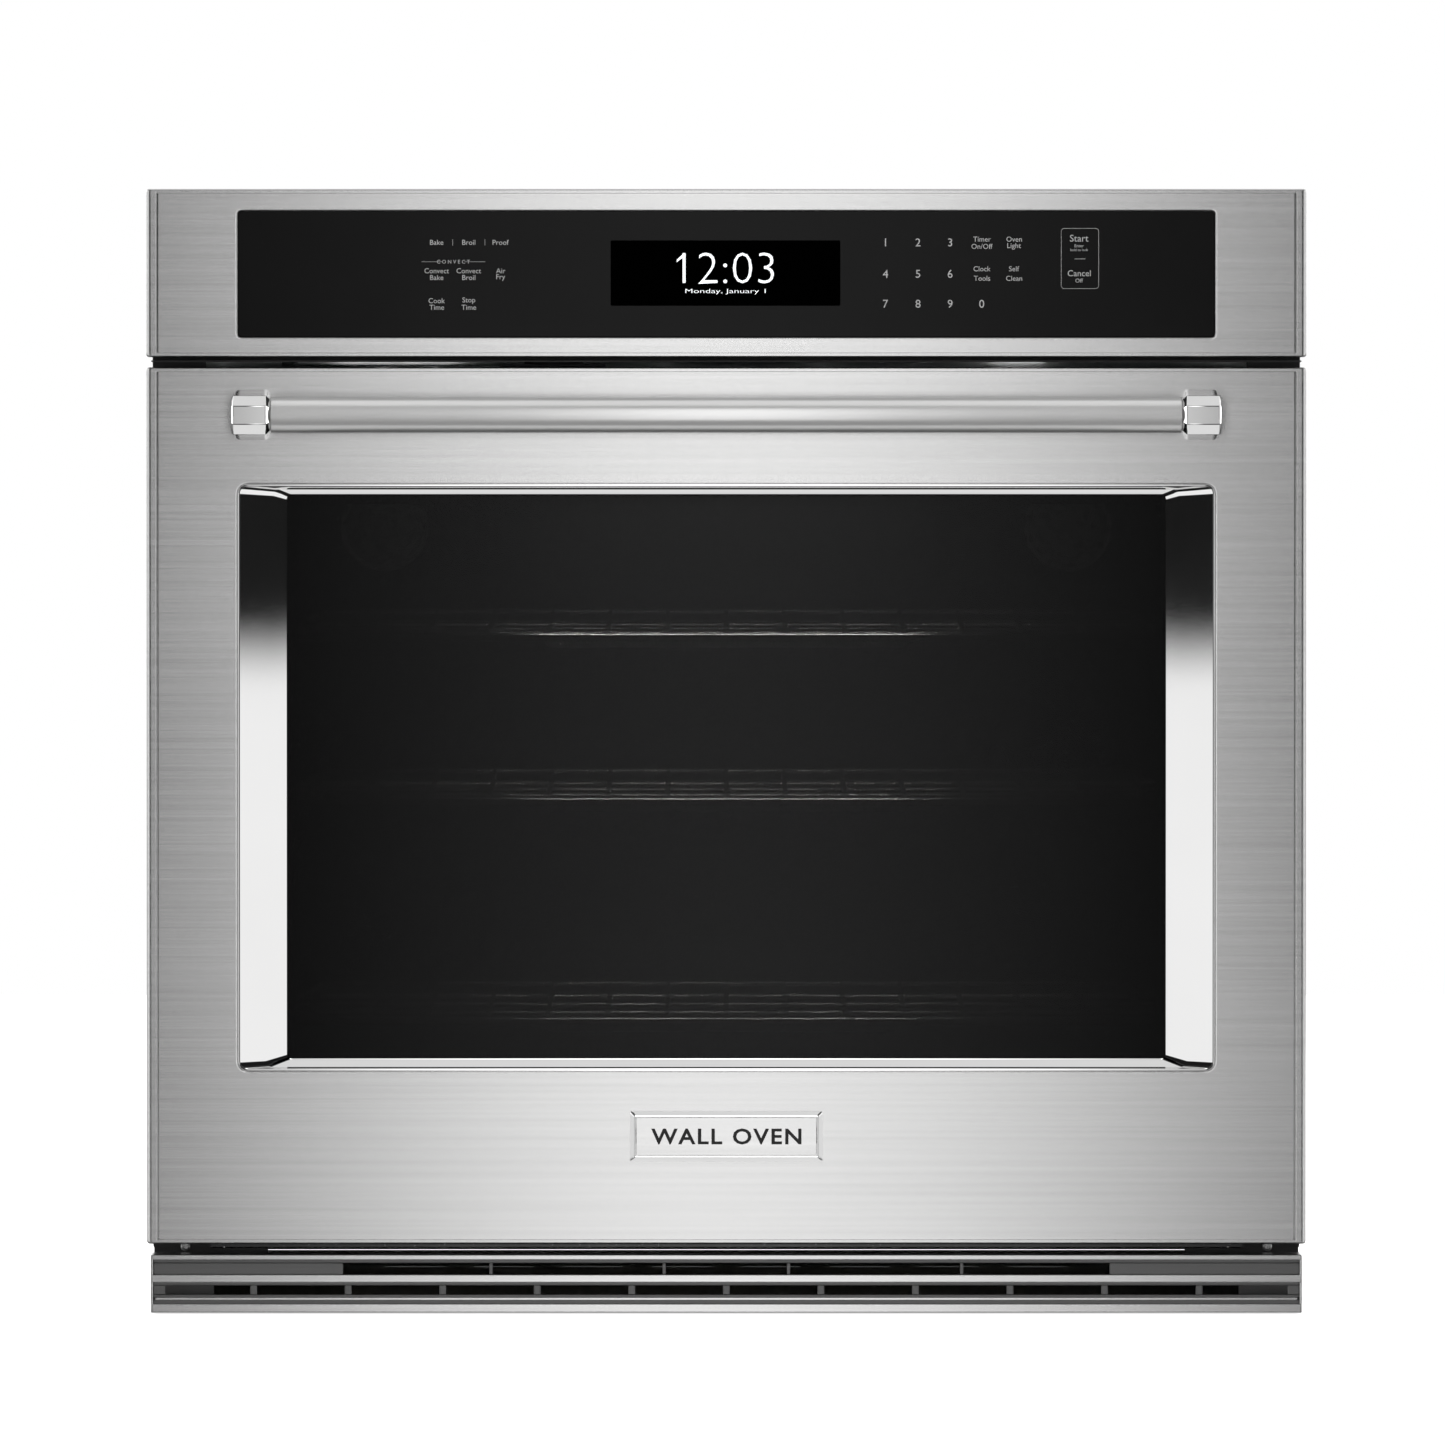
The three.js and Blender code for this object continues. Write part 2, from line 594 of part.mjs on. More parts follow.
// The display and the touch board it is soldered to.
function displayBoard() {
  const front = Y_GLASS_BACK + GAP;
  const boardFront = front + DISPLAY_THICKNESS;
  const boardBack = boardFront + BOARD_THICKNESS;
  const high = Z_DISPLAY + DISPLAY_HEIGHT / 2;
  const low = Z_DISPLAY - DISPLAY_HEIGHT / 2;
  const display = box(-DISPLAY_WIDTH / 2, DISPLAY_WIDTH / 2, front, boardFront + 0.5, low, high);
  const half = HALF_CONSOLE_GLASS - TOUCH_BOARD_MARGIN;
  const plate = box(-half, half, boardFront, boardBack, Z_GLASS_LOW + 8, Z_GLASS_HIGH - 8);
  const chips = evenly(TOUCH_CHIPS, (i) => {
    const x = -240 + 130 * i;
    return box(x, x + 26, boardBack - 0.5, boardBack + 3, Z_DISPLAY - 12, Z_DISPLAY + 14);
  });
  const socketLow = Z_GLASS_LOW + 12;
  const socket = box(-170, -130, boardBack - 0.5, boardBack + 9, socketLow, socketLow + 10);
  return build([display, plate, ...chips, socket]);
}

const BRACKET_LIP = 3.2;
const BRACKET_POST_X = 270;
const BRACKET_POST_RADIUS = 4;
const BRACKET_WINDOW_X = 200;
const BRACKET_WINDOW_HALF_WIDTH = 30;
const BRACKET_WINDOW_HALF_HEIGHT = 16;

// The console bracket carries the board; its lower lip is the black strip between console and door.
function consoleBracket() {
  const half = HALF_FRONT - CASING - 2;
  const back = Y_FRAME - GAP;
  const low = Z_CONSOLE - BRACKET_LIP;
  const boardBack = Y_GLASS_BACK + 2 * GAP + DISPLAY_THICKNESS + BOARD_THICKNESS;
  const web = box(-half, half, back - CASING, back, low, OVEN_HEIGHT - CASING - 2);
  const lip = box(-half, half, Y_FACE + 9, back, low, low + CASING);
  const posts = [-BRACKET_POST_X, BRACKET_POST_X].map((x) =>
    rod("y", [x, boardBack, Z_DISPLAY], back - boardBack, BRACKET_POST_RADIUS, 12),
  );
  const z0 = Z_DISPLAY - BRACKET_WINDOW_HALF_HEIGHT;
  const z1 = Z_DISPLAY + BRACKET_WINDOW_HALF_HEIGHT;
  const windows = [-BRACKET_WINDOW_X, BRACKET_WINDOW_X].map((x) =>
    box(x - BRACKET_WINDOW_HALF_WIDTH, x + BRACKET_WINDOW_HALF_WIDTH, back - 5, back + 5, z0, z1),
  );
  return build([web, lip, ...posts], windows);
}

// ---- Electronics over the deck ----------------------------------------------------------------

function relayBoard() {
  const z = Z_DECK + CASING + GAP;
  const plate = box(-300, -120, -120, 40, z + 8, z + 8 + BOARD_THICKNESS);
  const feet = [-290, -130].flatMap((x) => [-110, 30].map((y) => rod("z", [x, y, z], 8.5, 4, 8)));
  const relays = evenly(5, (i) => box(-292 + 34 * i, -266 + 34 * i, -20, 16, z + 9, z + 26));
  const transformer = box(-290, -235, -105, -55, z + 9, z + 44);
  const capacitors = evenly(3, (i) => rod("z", [-210 + 28 * i, -80, z + 9], 24, 8, 12));
  return build([plate, ...feet, ...relays, transformer, ...capacitors]);
}

const TERMINAL_X = 265;
const TERMINAL_Y = Y_REAR - 60;
const CONDUIT_RADIUS = 13;

// The terminal box, with the screwed connector where the supply conduit would enter.
function terminalBox() {
  const low = Z_DECK + CASING + GAP;
  const high = Z_CHASSIS_TOP - CASING - 8;
  const shell = box(TERMINAL_X - 50, TERMINAL_X + 50, TERMINAL_Y - 36, TERMINAL_Y + 36, low, high);
  const hollow = box(TERMINAL_X - 48, TERMINAL_X + 48, TERMINAL_Y - 50, TERMINAL_Y + 34, low + 2, high - 2);
  const connector = rod("z", [TERMINAL_X, TERMINAL_Y, high - 1], OVEN_HEIGHT - 3 - high, CONDUIT_RADIUS, 20);
  const bore = rod("z", [TERMINAL_X, TERMINAL_Y, high - 5], OVEN_HEIGHT, CONDUIT_RADIUS - 3, 20);
  return build([shell, connector], [hollow, bore]);
}

// ---- Cavity -----------------------------------------------------------------------------------

function ledgeHeights() {
  return evenly(RACK_POSITIONS, (i) => Z_FIRST_RACK + RACK_PITCH * i);
}

// An open box of enamelled sheet with a rack guide on each side at each height.
function cavityLiner() {
  const half = HALF_CAVITY;
  const t = ENAMEL_SHEET;
  const outer = box(-half - t, half + t, Y_CAVITY_FRONT, Y_CAVITY_BACK, CAVITY_FLOOR - t, Z_CEILING + t);
  const inner = box(-half, half, Y_CAVITY_FRONT - 5, Y_CAVITY_BACK + 5, CAVITY_FLOOR, Z_CEILING);
  const wrapper = solid(outer).subtract(solid(inner));
  const ventHole = solid(rod("z", [VENT_X, VENT_Y, Z_CEILING - 5], 12, VENT_RADIUS + SLIDE_GAP, 20));
  const front = Y_CAVITY_FRONT + LEDGE_FRONT;
  const back = Y_CAVITY_BACK - LEDGE_REAR;
  const ledges = [-1, 1].flatMap((side) =>
    ledgeHeights().map((top) => {
      const section = [
        [side * (half + t / 2), top],
        [side * (half - LEDGE_REACH), top],
        [side * (half - LEDGE_REACH), top - 3],
        [side * (half + t / 2), top - LEDGE_HEIGHT],
      ];
      return facing(polygon(section), front, back);
    }),
  );
  return geometryOf(wrapper.subtract(ventHole).add(joined(ledges)));
}

function throughBack(x, z, radius, sides = 14) {
  return rod("y", [x, Y_CAVITY_BACK - 10, z], 100, radius, sides);
}

const RING_LEADS = [-14, 14];

function cavityBack() {
  const half = HALF_CAVITY + ENAMEL_SHEET;
  const y = Y_CAVITY_BACK + GAP;
  const plate = box(-half, half, y, y + ENAMEL_SHEET, CAVITY_FLOOR - ENAMEL_SHEET, Z_CEILING + ENAMEL_SHEET);
  const lampHoles = [-1, 1].map((side) => throughBack(side * LAMP_SIDE, Z_LAMP, LAMP_RADIUS - 5));
  const leadHoles = [
    ...RING_LEADS.map((x) => throughBack(x, Z_FAN + RING_RADIUS, ELEMENT_RADIUS + SLIDE_GAP, 10)),
    ...broilLeads().map((x) => throughBack(x, Z_BROIL, ELEMENT_RADIUS + SLIDE_GAP, 10)),
  ];
  const sensorHole = throughBack(SENSOR_SIDE, Z_SENSOR, SENSOR_RADIUS + SLIDE_GAP, 12);
  const shaftHole = throughBack(0, Z_FAN, FAN_SHAFT_RADIUS + 4);
  return build([plate], [...lampHoles, ...leadHoles, sensorHole, shaftHole]);
}

const LATCH_SLOT_LEFT = 6;
const LATCH_SLOT_RIGHT = 20;

function latchSlot(y0, y1) {
  const x0 = LATCH_X - LATCH_SLOT_LEFT;
  const x1 = LATCH_X + LATCH_SLOT_RIGHT;
  const z0 = Z_LATCH - LATCH_THICKNESS / 2 - 2;
  return box(x0, x1, y0, y1, z0, z0 + LATCH_THICKNESS + 4);
}

// The slot that lets a hinge arm through a sheet, from the sheet's lower edge or around the arm.
function hingeSlot(y0, y1, below, above) {
  const half = HINGE_ARM_WIDTH / 2 + SLIDE_GAP;
  return [-1, 1].map((side) => {
    const x = side * HINGE_X;
    return box(x - half, x + half, y0, y1, Z_HINGE - below, Z_HINGE + above);
  });
}

const FRAME_FOLD = 12;

function cavityFrontFrame() {
  const low = Z_DOOR - 4;
  const high = Z_DOOR_TOP - 3;
  const face = box(-HALF_FRAME, HALF_FRAME, Y_FRAME, Y_CABINET, low, high);
  const folds = [
    box(-HALF_FRAME, HALF_FRAME, Y_FRAME, Y_FRAME + FRAME_FOLD, low, low + CASING),
    box(-HALF_FRAME, HALF_FRAME, Y_FRAME, Y_FRAME + FRAME_FOLD / 4, high - CASING, high),
  ];
  const mouth = box(-HALF_CAVITY, HALF_CAVITY, Y_FRAME - 5, Y_CABINET + 5, CAVITY_FLOOR, Z_CEILING);
  const armSlots = hingeSlot(Y_FRAME - 5, Y_CABINET + 5, HINGE_ARM_HEIGHT / 2 + 1, HINGE_ARM_HEIGHT / 2 + 1);
  return build([face, ...folds], [mouth, ...armSlots, latchSlot(Y_FRAME - 5, Y_CABINET + 5)]);
}

const GASKET_INNER = 5; // cavity mouth to the gasket
const GASKET_WIDTH = 10;

function doorGasket() {
  const front = Y_DOOR_BACK + GAP;
  const back = Y_FRAME - GAP;
  const ring = (margin) =>
    roundedRect(
      -HALF_CAVITY - margin, HALF_CAVITY + margin, CAVITY_FLOOR - margin, Z_CEILING + margin, margin + 6,
    );
  return build(
    [facing(ring(GASKET_INNER + GASKET_WIDTH), front, back)],
    [facing(ring(GASKET_INNER), front - 5, back + 5)],
  );
}

// A blanket round the liner, open at the front, with a way through for everything at the back.
function insulationBlanket() {
  const half = HALF_CHASSIS - 3 * CASING - 3 * GAP - 2;
  const front = Y_CABINET + FRAME_FOLD + 4;
  const back = Y_CAVITY_BACK + INSULATION_THICKNESS;
  const outer = box(-half, half, front, back, CAVITY_FLOOR - INSULATION_BELOW, Z_DECK - GAP);
  const t = ENAMEL_SHEET + GAP;
  const wide = HALF_CAVITY + t;
  const low = CAVITY_FLOOR - BAKE_SPACE;
  const inside = box(-wide, wide, front - 5, Y_CAVITY_BACK + 2 * t, low, Z_CEILING + t);
  const lamps = [-1, 1].map((side) => throughBack(side * LAMP_SIDE, Z_LAMP, LAMP_RADIUS + SLIDE_GAP));
  const leads = [
    box(-30, 30, Y_CAVITY_BACK, Y_CAVITY_BACK + 100, Z_FAN + RING_RADIUS - 12, Z_FAN + RING_RADIUS + 12),
    ...broilLeads().map((x) => throughBack(x, Z_BROIL, ELEMENT_RADIUS + 2, 10)),
    ...bakeLeads().map((x) => throughBack(x, Z_BAKE, ELEMENT_RADIUS + 2, 10)),
    throughBack(SENSOR_SIDE, Z_SENSOR, 12, 12),
  ];
  const motor = throughBack(0, Z_FAN, MOTOR_FOOT + 3);
  const vent = rod("z", [VENT_X, VENT_Y, Z_CEILING - 5], 100, VENT_RADIUS + 6);
  const latchPocket = box(
    LATCH_X - 45, LATCH_X + 45, front - 5, Y_LATCH + 45, Z_LATCH - 12, Z_DECK + 5,
  );
  return build([outer], [inside, ...lamps, ...leads, motor, vent, latchPocket]);
}

const SENSOR_RADIUS = 3;

function temperatureSensor() {
  const back = Y_CAVITY_BACK - GAP;
  const tip = [SENSOR_SIDE, back - SENSOR_LENGTH, Z_SENSOR];
  const probe = rod("y", tip, SENSOR_LENGTH + 30, SENSOR_RADIUS, 12);
  const plate = box(SENSOR_SIDE - 16, SENSOR_SIDE + 16, back - 1.2, back, Z_SENSOR - 7, Z_SENSOR + 7);
  return build([probe, plate]);
}

// ---- Lamps ------------------------------------------------------------------------------------

function lampHousing(side) {
  const x = side * LAMP_SIDE;
  const back = Y_CAVITY_BACK + 2 * GAP + ENAMEL_SHEET;
  const cup = rod("y", [x, back, Z_LAMP], 34, LAMP_RADIUS);
  const hollow = rod("y", [x, back - 5, Z_LAMP], 36, LAMP_RADIUS - 2.5);
  const socket = rod("y", [x, back + 22, Z_LAMP], 26, 11, 12);
  return build([cup, socket], [hollow]);
}

// A shallow glass dome whose rim seats on the cavity back.
function lampLens(side) {
  const outer = LAMP_RADIUS;
  const profile = [
    [0, 9], [outer * 0.5, 7.5], [outer * 0.82, 0], [outer, 0],
    [outer, 2], [outer * 0.9, 2.5], [outer * 0.6, 10], [0, 12],
  ].map(([r, h]) => new THREE.Vector2(r, h));
  const dome = new THREE.LatheGeometry(profile, 16);
  dome.rotateX(Math.PI);
  return dome.translate(side * LAMP_SIDE, Y_CAVITY_BACK - GAP, Z_LAMP);
}

// ---- Heating elements -------------------------------------------------------------------------

const Z_BROIL = Z_CEILING - 16;
const BROIL_RUNS = 6;
const BROIL_PITCH = 84;
const BAKE_SPACE = 20;
const Z_BAKE = CAVITY_FLOOR - 10;
const BAKE_RUNS = 4;
const BAKE_PITCH = 130;

// A serpentine of runs along Y, joined by half circles, with its two ends leaving at the back.
function serpentine(runs, pitch, z, front, turnBack, back, steps) {
  const radius = pitch / 2;
  const left = (-(runs - 1) * pitch) / 2;
  const points = [[left, back, z]];
  for (let run = 0; run < runs; run++) {
    const x = left + run * pitch;
    const goingForward = run % 2 === 0;
    const near = front + radius;
    const far = turnBack - radius;
    const [from, to] = goingForward ? [far, near] : [near, far];
    points.push([x, from, z], [x, (from + to) / 2, z], [x, to, z]);
    if (run < runs - 1) {
      const out = goingForward ? -1 : 1;
      points.push([x + radius * 0.29, to + out * radius * 0.71, z]);
      points.push([x + radius, to + out * radius, z]);
      points.push([x + radius * 1.71, to + out * radius * 0.71, z]);
    }
  }
  points.push([-left, back, z]);
  return tube(points, ELEMENT_RADIUS, steps, 6);
}

const serpentineEnds = (runs, pitch) => [(-(runs - 1) * pitch) / 2, ((runs - 1) * pitch) / 2];
const broilLeads = () => serpentineEnds(BROIL_RUNS, BROIL_PITCH);
const bakeLeads = () => serpentineEnds(BAKE_RUNS, BAKE_PITCH);

function broilElement() {
  return serpentine(
    BROIL_RUNS, BROIL_PITCH, Z_BROIL, Y_CAVITY_FRONT + 50, Y_CAVITY_BACK - 50, Y_CAVITY_BACK + 40, 60,
  );
}

function bakeElement() {
  return serpentine(
    BAKE_RUNS, BAKE_PITCH, Z_BAKE, Y_CAVITY_FRONT + 60, Y_CAVITY_BACK - 40, Y_CAVITY_BACK + 40, 44,
  );
}

const Y_RING = Y_CAVITY_BACK - 16;

function convectionElement() {
  const ring = new THREE.TorusGeometry(RING_RADIUS, ELEMENT_RADIUS, 6, 28);
  ring.rotateX(Math.PI / 2).translate(0, Y_RING, Z_FAN);
  const leads = RING_LEADS.map((x) => {
    const z = Z_FAN + RING_RADIUS;
    return rod("y", [x, Y_RING, z], 50, ELEMENT_RADIUS - 0.5, 8);
  });
  return build([ring, ...leads]);
}

// ---- Convection fan ---------------------------------------------------------------------------

const Y_FAN = Y_CAVITY_BACK - 10 - FAN_DEPTH;

// A back disc with flat blades standing forward from it, and the shaft to the motor.
function convectionFan() {
  const back = Y_FAN + FAN_DEPTH;
  const disc = rod("y", [0, back - 1.5, Z_FAN], 1.5, FAN_RADIUS, 24);
  const hub = rod("y", [0, Y_FAN - 2, Z_FAN], FAN_DEPTH + 1, 9, 16);
  const shaft = rod("y", [0, back - 2, Z_FAN], 40, FAN_SHAFT_RADIUS, 12);
  const blades = evenly(FAN_BLADES, (i) => {
    const blade = box(FAN_RADIUS * 0.42, FAN_RADIUS - 1, Y_FAN, back - 1, -0.8, 0.8);
    return blade.rotateY((2 * Math.PI * i) / FAN_BLADES + 0.2).translate(0, 0, Z_FAN);
  });
  return build([disc, hub, shaft, ...blades]);
}

function fanCover() {
  const half = FAN_COVER_HALF;
  const front = Y_CAVITY_BACK - FAN_COVER_DEPTH;
  const back = Y_CAVITY_BACK - GAP;
  const outline = (inset) => {
    const reach = half - inset;
    return roundedRect(-reach, reach, Z_FAN - reach, Z_FAN + reach, FAN_COVER_CORNER - inset);
  };
  const shell = facing(outline(0), front, back);
  const hollow = facing(outline(1.2), front + 1.2, back + 5);
  const spokes = 12;
  const inlets = evenly(spokes, (i) => {
    const slot = box(22, 66, front - 5, front + 5, -3.2, 3.2);
    return slot.rotateY((2 * Math.PI * i) / spokes).translate(0, 0, Z_FAN);
  });
  const outlets = [-1, 1].flatMap((side) =>
    evenly(6, (i) => {
      const z = Z_FAN - 100 + 36 * i;
      const x = side * half;
      return box(x - 6, x + 6, front + 10, front + 24, z, z + 22);
    }),
  );
  return build([shell], [hollow, ...inlets, ...outlets]);
}

function fanMotor() {
  const front = Y_FAN + FAN_DEPTH + 24;
  const can = rod("y", [0, front, Z_FAN], MOTOR_LENGTH, MOTOR_RADIUS, 28);
  const bearing = rod("y", [0, front - 5, Z_FAN], 6, 12, 16);
  const feet = box(-MOTOR_FOOT, MOTOR_FOOT, front + 4, front + 6, Z_FAN - 10, Z_FAN + 10);
  const shaftWay = rod("y", [0, front - 10, Z_FAN], 32, FAN_SHAFT_RADIUS + 0.4, 16);
  return build([can, bearing, feet], [shaftWay]);
}

// ---- Cooling blower, duct and vent ------------------------------------------------------------

const Y_BLOWER = Y_REAR - BLOWER_FROM_REAR;
const Z_BLOWER = Z_DECK + CASING + GAP;
const Y_DUCT = Y_REAR - CASING - 2 - DUCT_DEPTH;
const HOUSING_WALL = 1.5;
const SCROLL_GROWTH = 24;
const VENT_X = 118;
const VENT_Y = Y_CAVITY_BACK - 90;
const VENT_RADIUS = 12;

// A scroll that grows from the wheel's radius, with a straight outlet to the rear duct.
function scroll(margin) {
  const shape = new THREE.Shape();
  const turns = 14;
  const radiusAt = (share) => BLOWER_RADIUS + 5 + SCROLL_GROWTH * share + margin;
  const outletX = radiusAt(1);
  shape.moveTo(-radiusAt(0), Y_DUCT - GAP - Y_BLOWER);
  evenly(turns + 1, (i) => {
    const share = i / turns;
    const angle = Math.PI + share * Math.PI;
    shape.lineTo(radiusAt(share) * Math.cos(angle), radiusAt(share) * Math.sin(angle));
  });
  shape.lineTo(outletX, Y_DUCT - GAP - Y_BLOWER);
  return shape;
}

function blowerHousing() {
  const height = BLOWER_HEIGHT + 8;
  const shell = upright(scroll(HOUSING_WALL), 0, height);
  const hollow = upright(scroll(0), HOUSING_WALL, height - HOUSING_WALL).translate(0, 8, 0);
  const inlet = rod("z", [0, 0, height - 10], 20, BLOWER_RADIUS * 0.72, 20);
  const keepFront = upright(scroll(0), HOUSING_WALL, height - HOUSING_WALL);
  return build([shell], [hollow, keepFront, inlet]).translate(0, Y_BLOWER, Z_BLOWER);
}

function blowerWheel() {
  const low = Z_BLOWER + HOUSING_WALL + 2;
  const high = low + BLOWER_HEIGHT;
  const disc = rod("z", [0, 0, low], 1.6, BLOWER_RADIUS, 20);
  const hub = rod("z", [0, 0, low], 22, 9, 16);
  const shaft = rod("z", [0, 0, low + 10], BLOWER_HEIGHT + 12, 3.5, 12);
  const ring = rod("z", [0, 0, high - 3], 3, BLOWER_RADIUS, 20);
  const rim = build([ring], [rod("z", [0, 0, high - 8], 12, BLOWER_RADIUS - 9, 20)]);
  const blades = evenly(BLOWER_BLADES, (i) => {
    const blade = box(BLOWER_RADIUS - 9.5, BLOWER_RADIUS - 1.5, -0.6, 0.6, low + 1, high - 1);
    return blade.rotateZ((2 * Math.PI * i) / BLOWER_BLADES);
  });
  return build([disc, hub, shaft, rim, ...blades]).translate(0, Y_BLOWER, 0);
}

function blowerMotor() {
  const low = Z_BLOWER + BLOWER_HEIGHT + 8 + GAP;
  const strap = box(-DUCT_HALF_WIDTH, DUCT_HALF_WIDTH, -9, 9, low, low + 1.5);
  const legs = [-1, 1].map((side) => {
    const x = side * (DUCT_HALF_WIDTH - 1);
    return box(x - 1, x + 1, -9, 9, Z_BLOWER, low + 1);
  });
  const stack = box(-26, 26, -22, 22, low + 1, low + 24);
  const shaftWay = rod("z", [0, 0, low - 5], 26, 4, 16);
  return build([strap, ...legs, stack], [shaftWay]).translate(0, Y_BLOWER, 0);
}

function airDuct() {
  const half = DUCT_HALF_WIDTH;
  const high = Z_BLOWER + BLOWER_HEIGHT + 8;
  const low = PAN_FLOOR + CASING + 40;
  const outer = box(-half, half, Y_DUCT, Y_DUCT + DUCT_DEPTH, low, high);
  const inner = box(-half + 1, half - 1, Y_DUCT + 1, Y_DUCT + DUCT_DEPTH - 1, low - 5, high - 1);
  const mouthLow = Z_BLOWER + HOUSING_WALL;
  const mouth = box(
    -BLOWER_RADIUS, BLOWER_RADIUS + SCROLL_GROWTH, Y_DUCT - 5, Y_DUCT + 5, mouthLow, high - HOUSING_WALL,
  );
  return build([outer], [inner, mouth]);
}

function ventTube() {
  const low = Z_CEILING - 3;
  const outer = rod("z", [VENT_X, VENT_Y, low], Z_DECK + 34 - low, VENT_RADIUS, 20);
  const flange = rod("z", [VENT_X, VENT_Y, Z_DECK + CASING + GAP], 1.5, VENT_RADIUS + 8, 20);
  const bore = rod("z", [VENT_X, VENT_Y, low - 5], 200, VENT_RADIUS - 1.2, 20);
  return build([outer, flange], [bore]);
}

// ---- Door latch -------------------------------------------------------------------------------

const Y_LATCH = Y_FRAME + LATCH_PIVOT_BEHIND_FRAME;
const LATCH_SHAFT_RADIUS = 4;

// The hook turns about an upright shaft; its barb then sits behind the door liner's slot.
function latchHook() {
  const z0 = Z_LATCH - LATCH_THICKNESS / 2;
  const outline = polygon([
    [-3, 0], [-3, -LATCH_REACH], [1, -LATCH_REACH], [LATCH_BARB + 3, -LATCH_REACH + 2],
    [LATCH_BARB + 3, -LATCH_REACH + 5], [3, -LATCH_REACH + 5], [3, 0],
  ]);
  const arm = upright(outline, z0, z0 + LATCH_THICKNESS).translate(LATCH_X, Y_LATCH, 0);
  const boss = rod("z", [LATCH_X, Y_LATCH, z0], LATCH_THICKNESS, 8, 16);
  const shaft = rod("z", [LATCH_X, Y_LATCH, z0], Z_DECK + 14 - z0, LATCH_SHAFT_RADIUS, 16);
  return build([arm, boss, shaft]);
}

function latchMotor() {
  const low = Z_DECK + CASING + GAP;
  const plate = box(LATCH_X - 34, LATCH_X + 34, Y_LATCH - 20, Y_LATCH + 34, low, low + 1.5);
  const gearbox = rod("z", [LATCH_X, Y_LATCH, low], 20, 19, 24);
  const can = rod("z", [LATCH_X, Y_LATCH, low + 18], 24, 15, 24);
  const plug = box(LATCH_X - 10, LATCH_X + 10, Y_LATCH + 12, Y_LATCH + 32, low + 1, low + 14);
  const shaftWay = rod("z", [LATCH_X, Y_LATCH, low - 5], 24, LATCH_SHAFT_RADIUS + 0.4, 16);
  return build([plate, gearbox, can, plug], [shaftWay]);
}

// ---- Hinges -----------------------------------------------------------------------------------

// A fixed arm: a boss on the pivot, a neck back through the front frame, and a hooked end.
function hingeArm() {
  const half = HINGE_ARM_WIDTH / 2;
  const end = Y_HINGE + HINGE_ARM_REACH;
  const h = HINGE_ARM_HEIGHT / 2;
  const neck = box(HINGE_X - half, HINGE_X + half, Y_HINGE, end, Z_HINGE - h, Z_HINGE + h);
  const boss = rod("x", [HINGE_X - half, Y_HINGE, Z_HINGE], HINGE_ARM_WIDTH, HINGE_BOSS_RADIUS, 24);
  const bore = rod("x", [HINGE_X - 20, Y_HINGE, Z_HINGE], 40, HINGE_PIN_RADIUS + GAP, 24);
  const notch = box(HINGE_X - 20, HINGE_X + 20, end - 16, end - 8, Z_HINGE - h - 1, Z_HINGE - h + 5);
  const grooveHalf = half - 3;
  const grooveFront = Y_HINGE + 14;
  const groove = box(
    HINGE_X - grooveHalf, HINGE_X + grooveHalf, grooveFront, end + 5, Z_HINGE - h + 3, Z_HINGE + h + 5,
  );
  return build([neck, boss], [bore, notch, groove]);
}

function hingeReceiver() {
  const inner = HINGE_ARM_WIDTH / 2 + 0.5;
  const outer = inner + RECEIVER_WALL;
  const h = HINGE_ARM_HEIGHT / 2 + 0.5;
  const front = Y_CABINET + GAP;
  const back = Y_HINGE + HINGE_ARM_REACH + 4;
  const low = Z_HINGE - h - RECEIVER_FOOT;
  const high = Z_HINGE + h;
  const shell = box(HINGE_X - outer, HINGE_X + outer, front, back, low, high + RECEIVER_WALL);
  const foot = box(HINGE_X - outer - 6, HINGE_X + outer, front, front + RECEIVER_WALL, low, high + 6);
  const way = box(HINGE_X - inner, HINGE_X + inner, front - 5, back + 5, Z_HINGE - h, high);
  return build([shell, foot], [way]);
}

const Y_HINGE_BODY_FRONT = Y_FACE + CASING + BEZEL_FLANGE_THICKNESS + 2 * GAP;
const Y_HINGE_BODY_BACK = Y_DOOR_BACK - CASING - 2;
const HINGE_PIN_HEAD = 1;
const Z_HINGE_BODY = Z_DOOR + CASING + 0.8;
const HALF_HINGE_BODY = HINGE_ARM_WIDTH / 2 + 0.4 + HINGE_CHEEK;

// Two cheeks with the pin between them, joined by a web above the arm.
function hingeBody() {
  const outer = HALF_HINGE_BODY;
  const inner = outer - HINGE_CHEEK;
  const low = Z_HINGE_BODY;
  const high = low + HINGE_BODY_LENGTH;
  const front = Y_HINGE_BODY_FRONT;
  const back = Y_HINGE_BODY_BACK;
  const cheeks = [
    box(HINGE_X - outer, HINGE_X - inner, front, back, low, high),
    box(HINGE_X + inner, HINGE_X + outer, front, back, low, high),
  ];
  const webLow = Z_HINGE + HINGE_BOSS_RADIUS + 6;
  const web = box(HINGE_X - outer, HINGE_X + outer, front, front + HINGE_CHEEK, webLow, high);
  const cap = box(HINGE_X - outer, HINGE_X + outer, front, back, high - HINGE_CHEEK, high);
  const pinHalf = outer + HINGE_PIN_HEAD;
  const pin = rod("x", [HINGE_X - pinHalf, Y_HINGE, Z_HINGE], 2 * pinHalf, HINGE_PIN_RADIUS, 24);
  return build([...cheeks, web, cap, pin]);
}

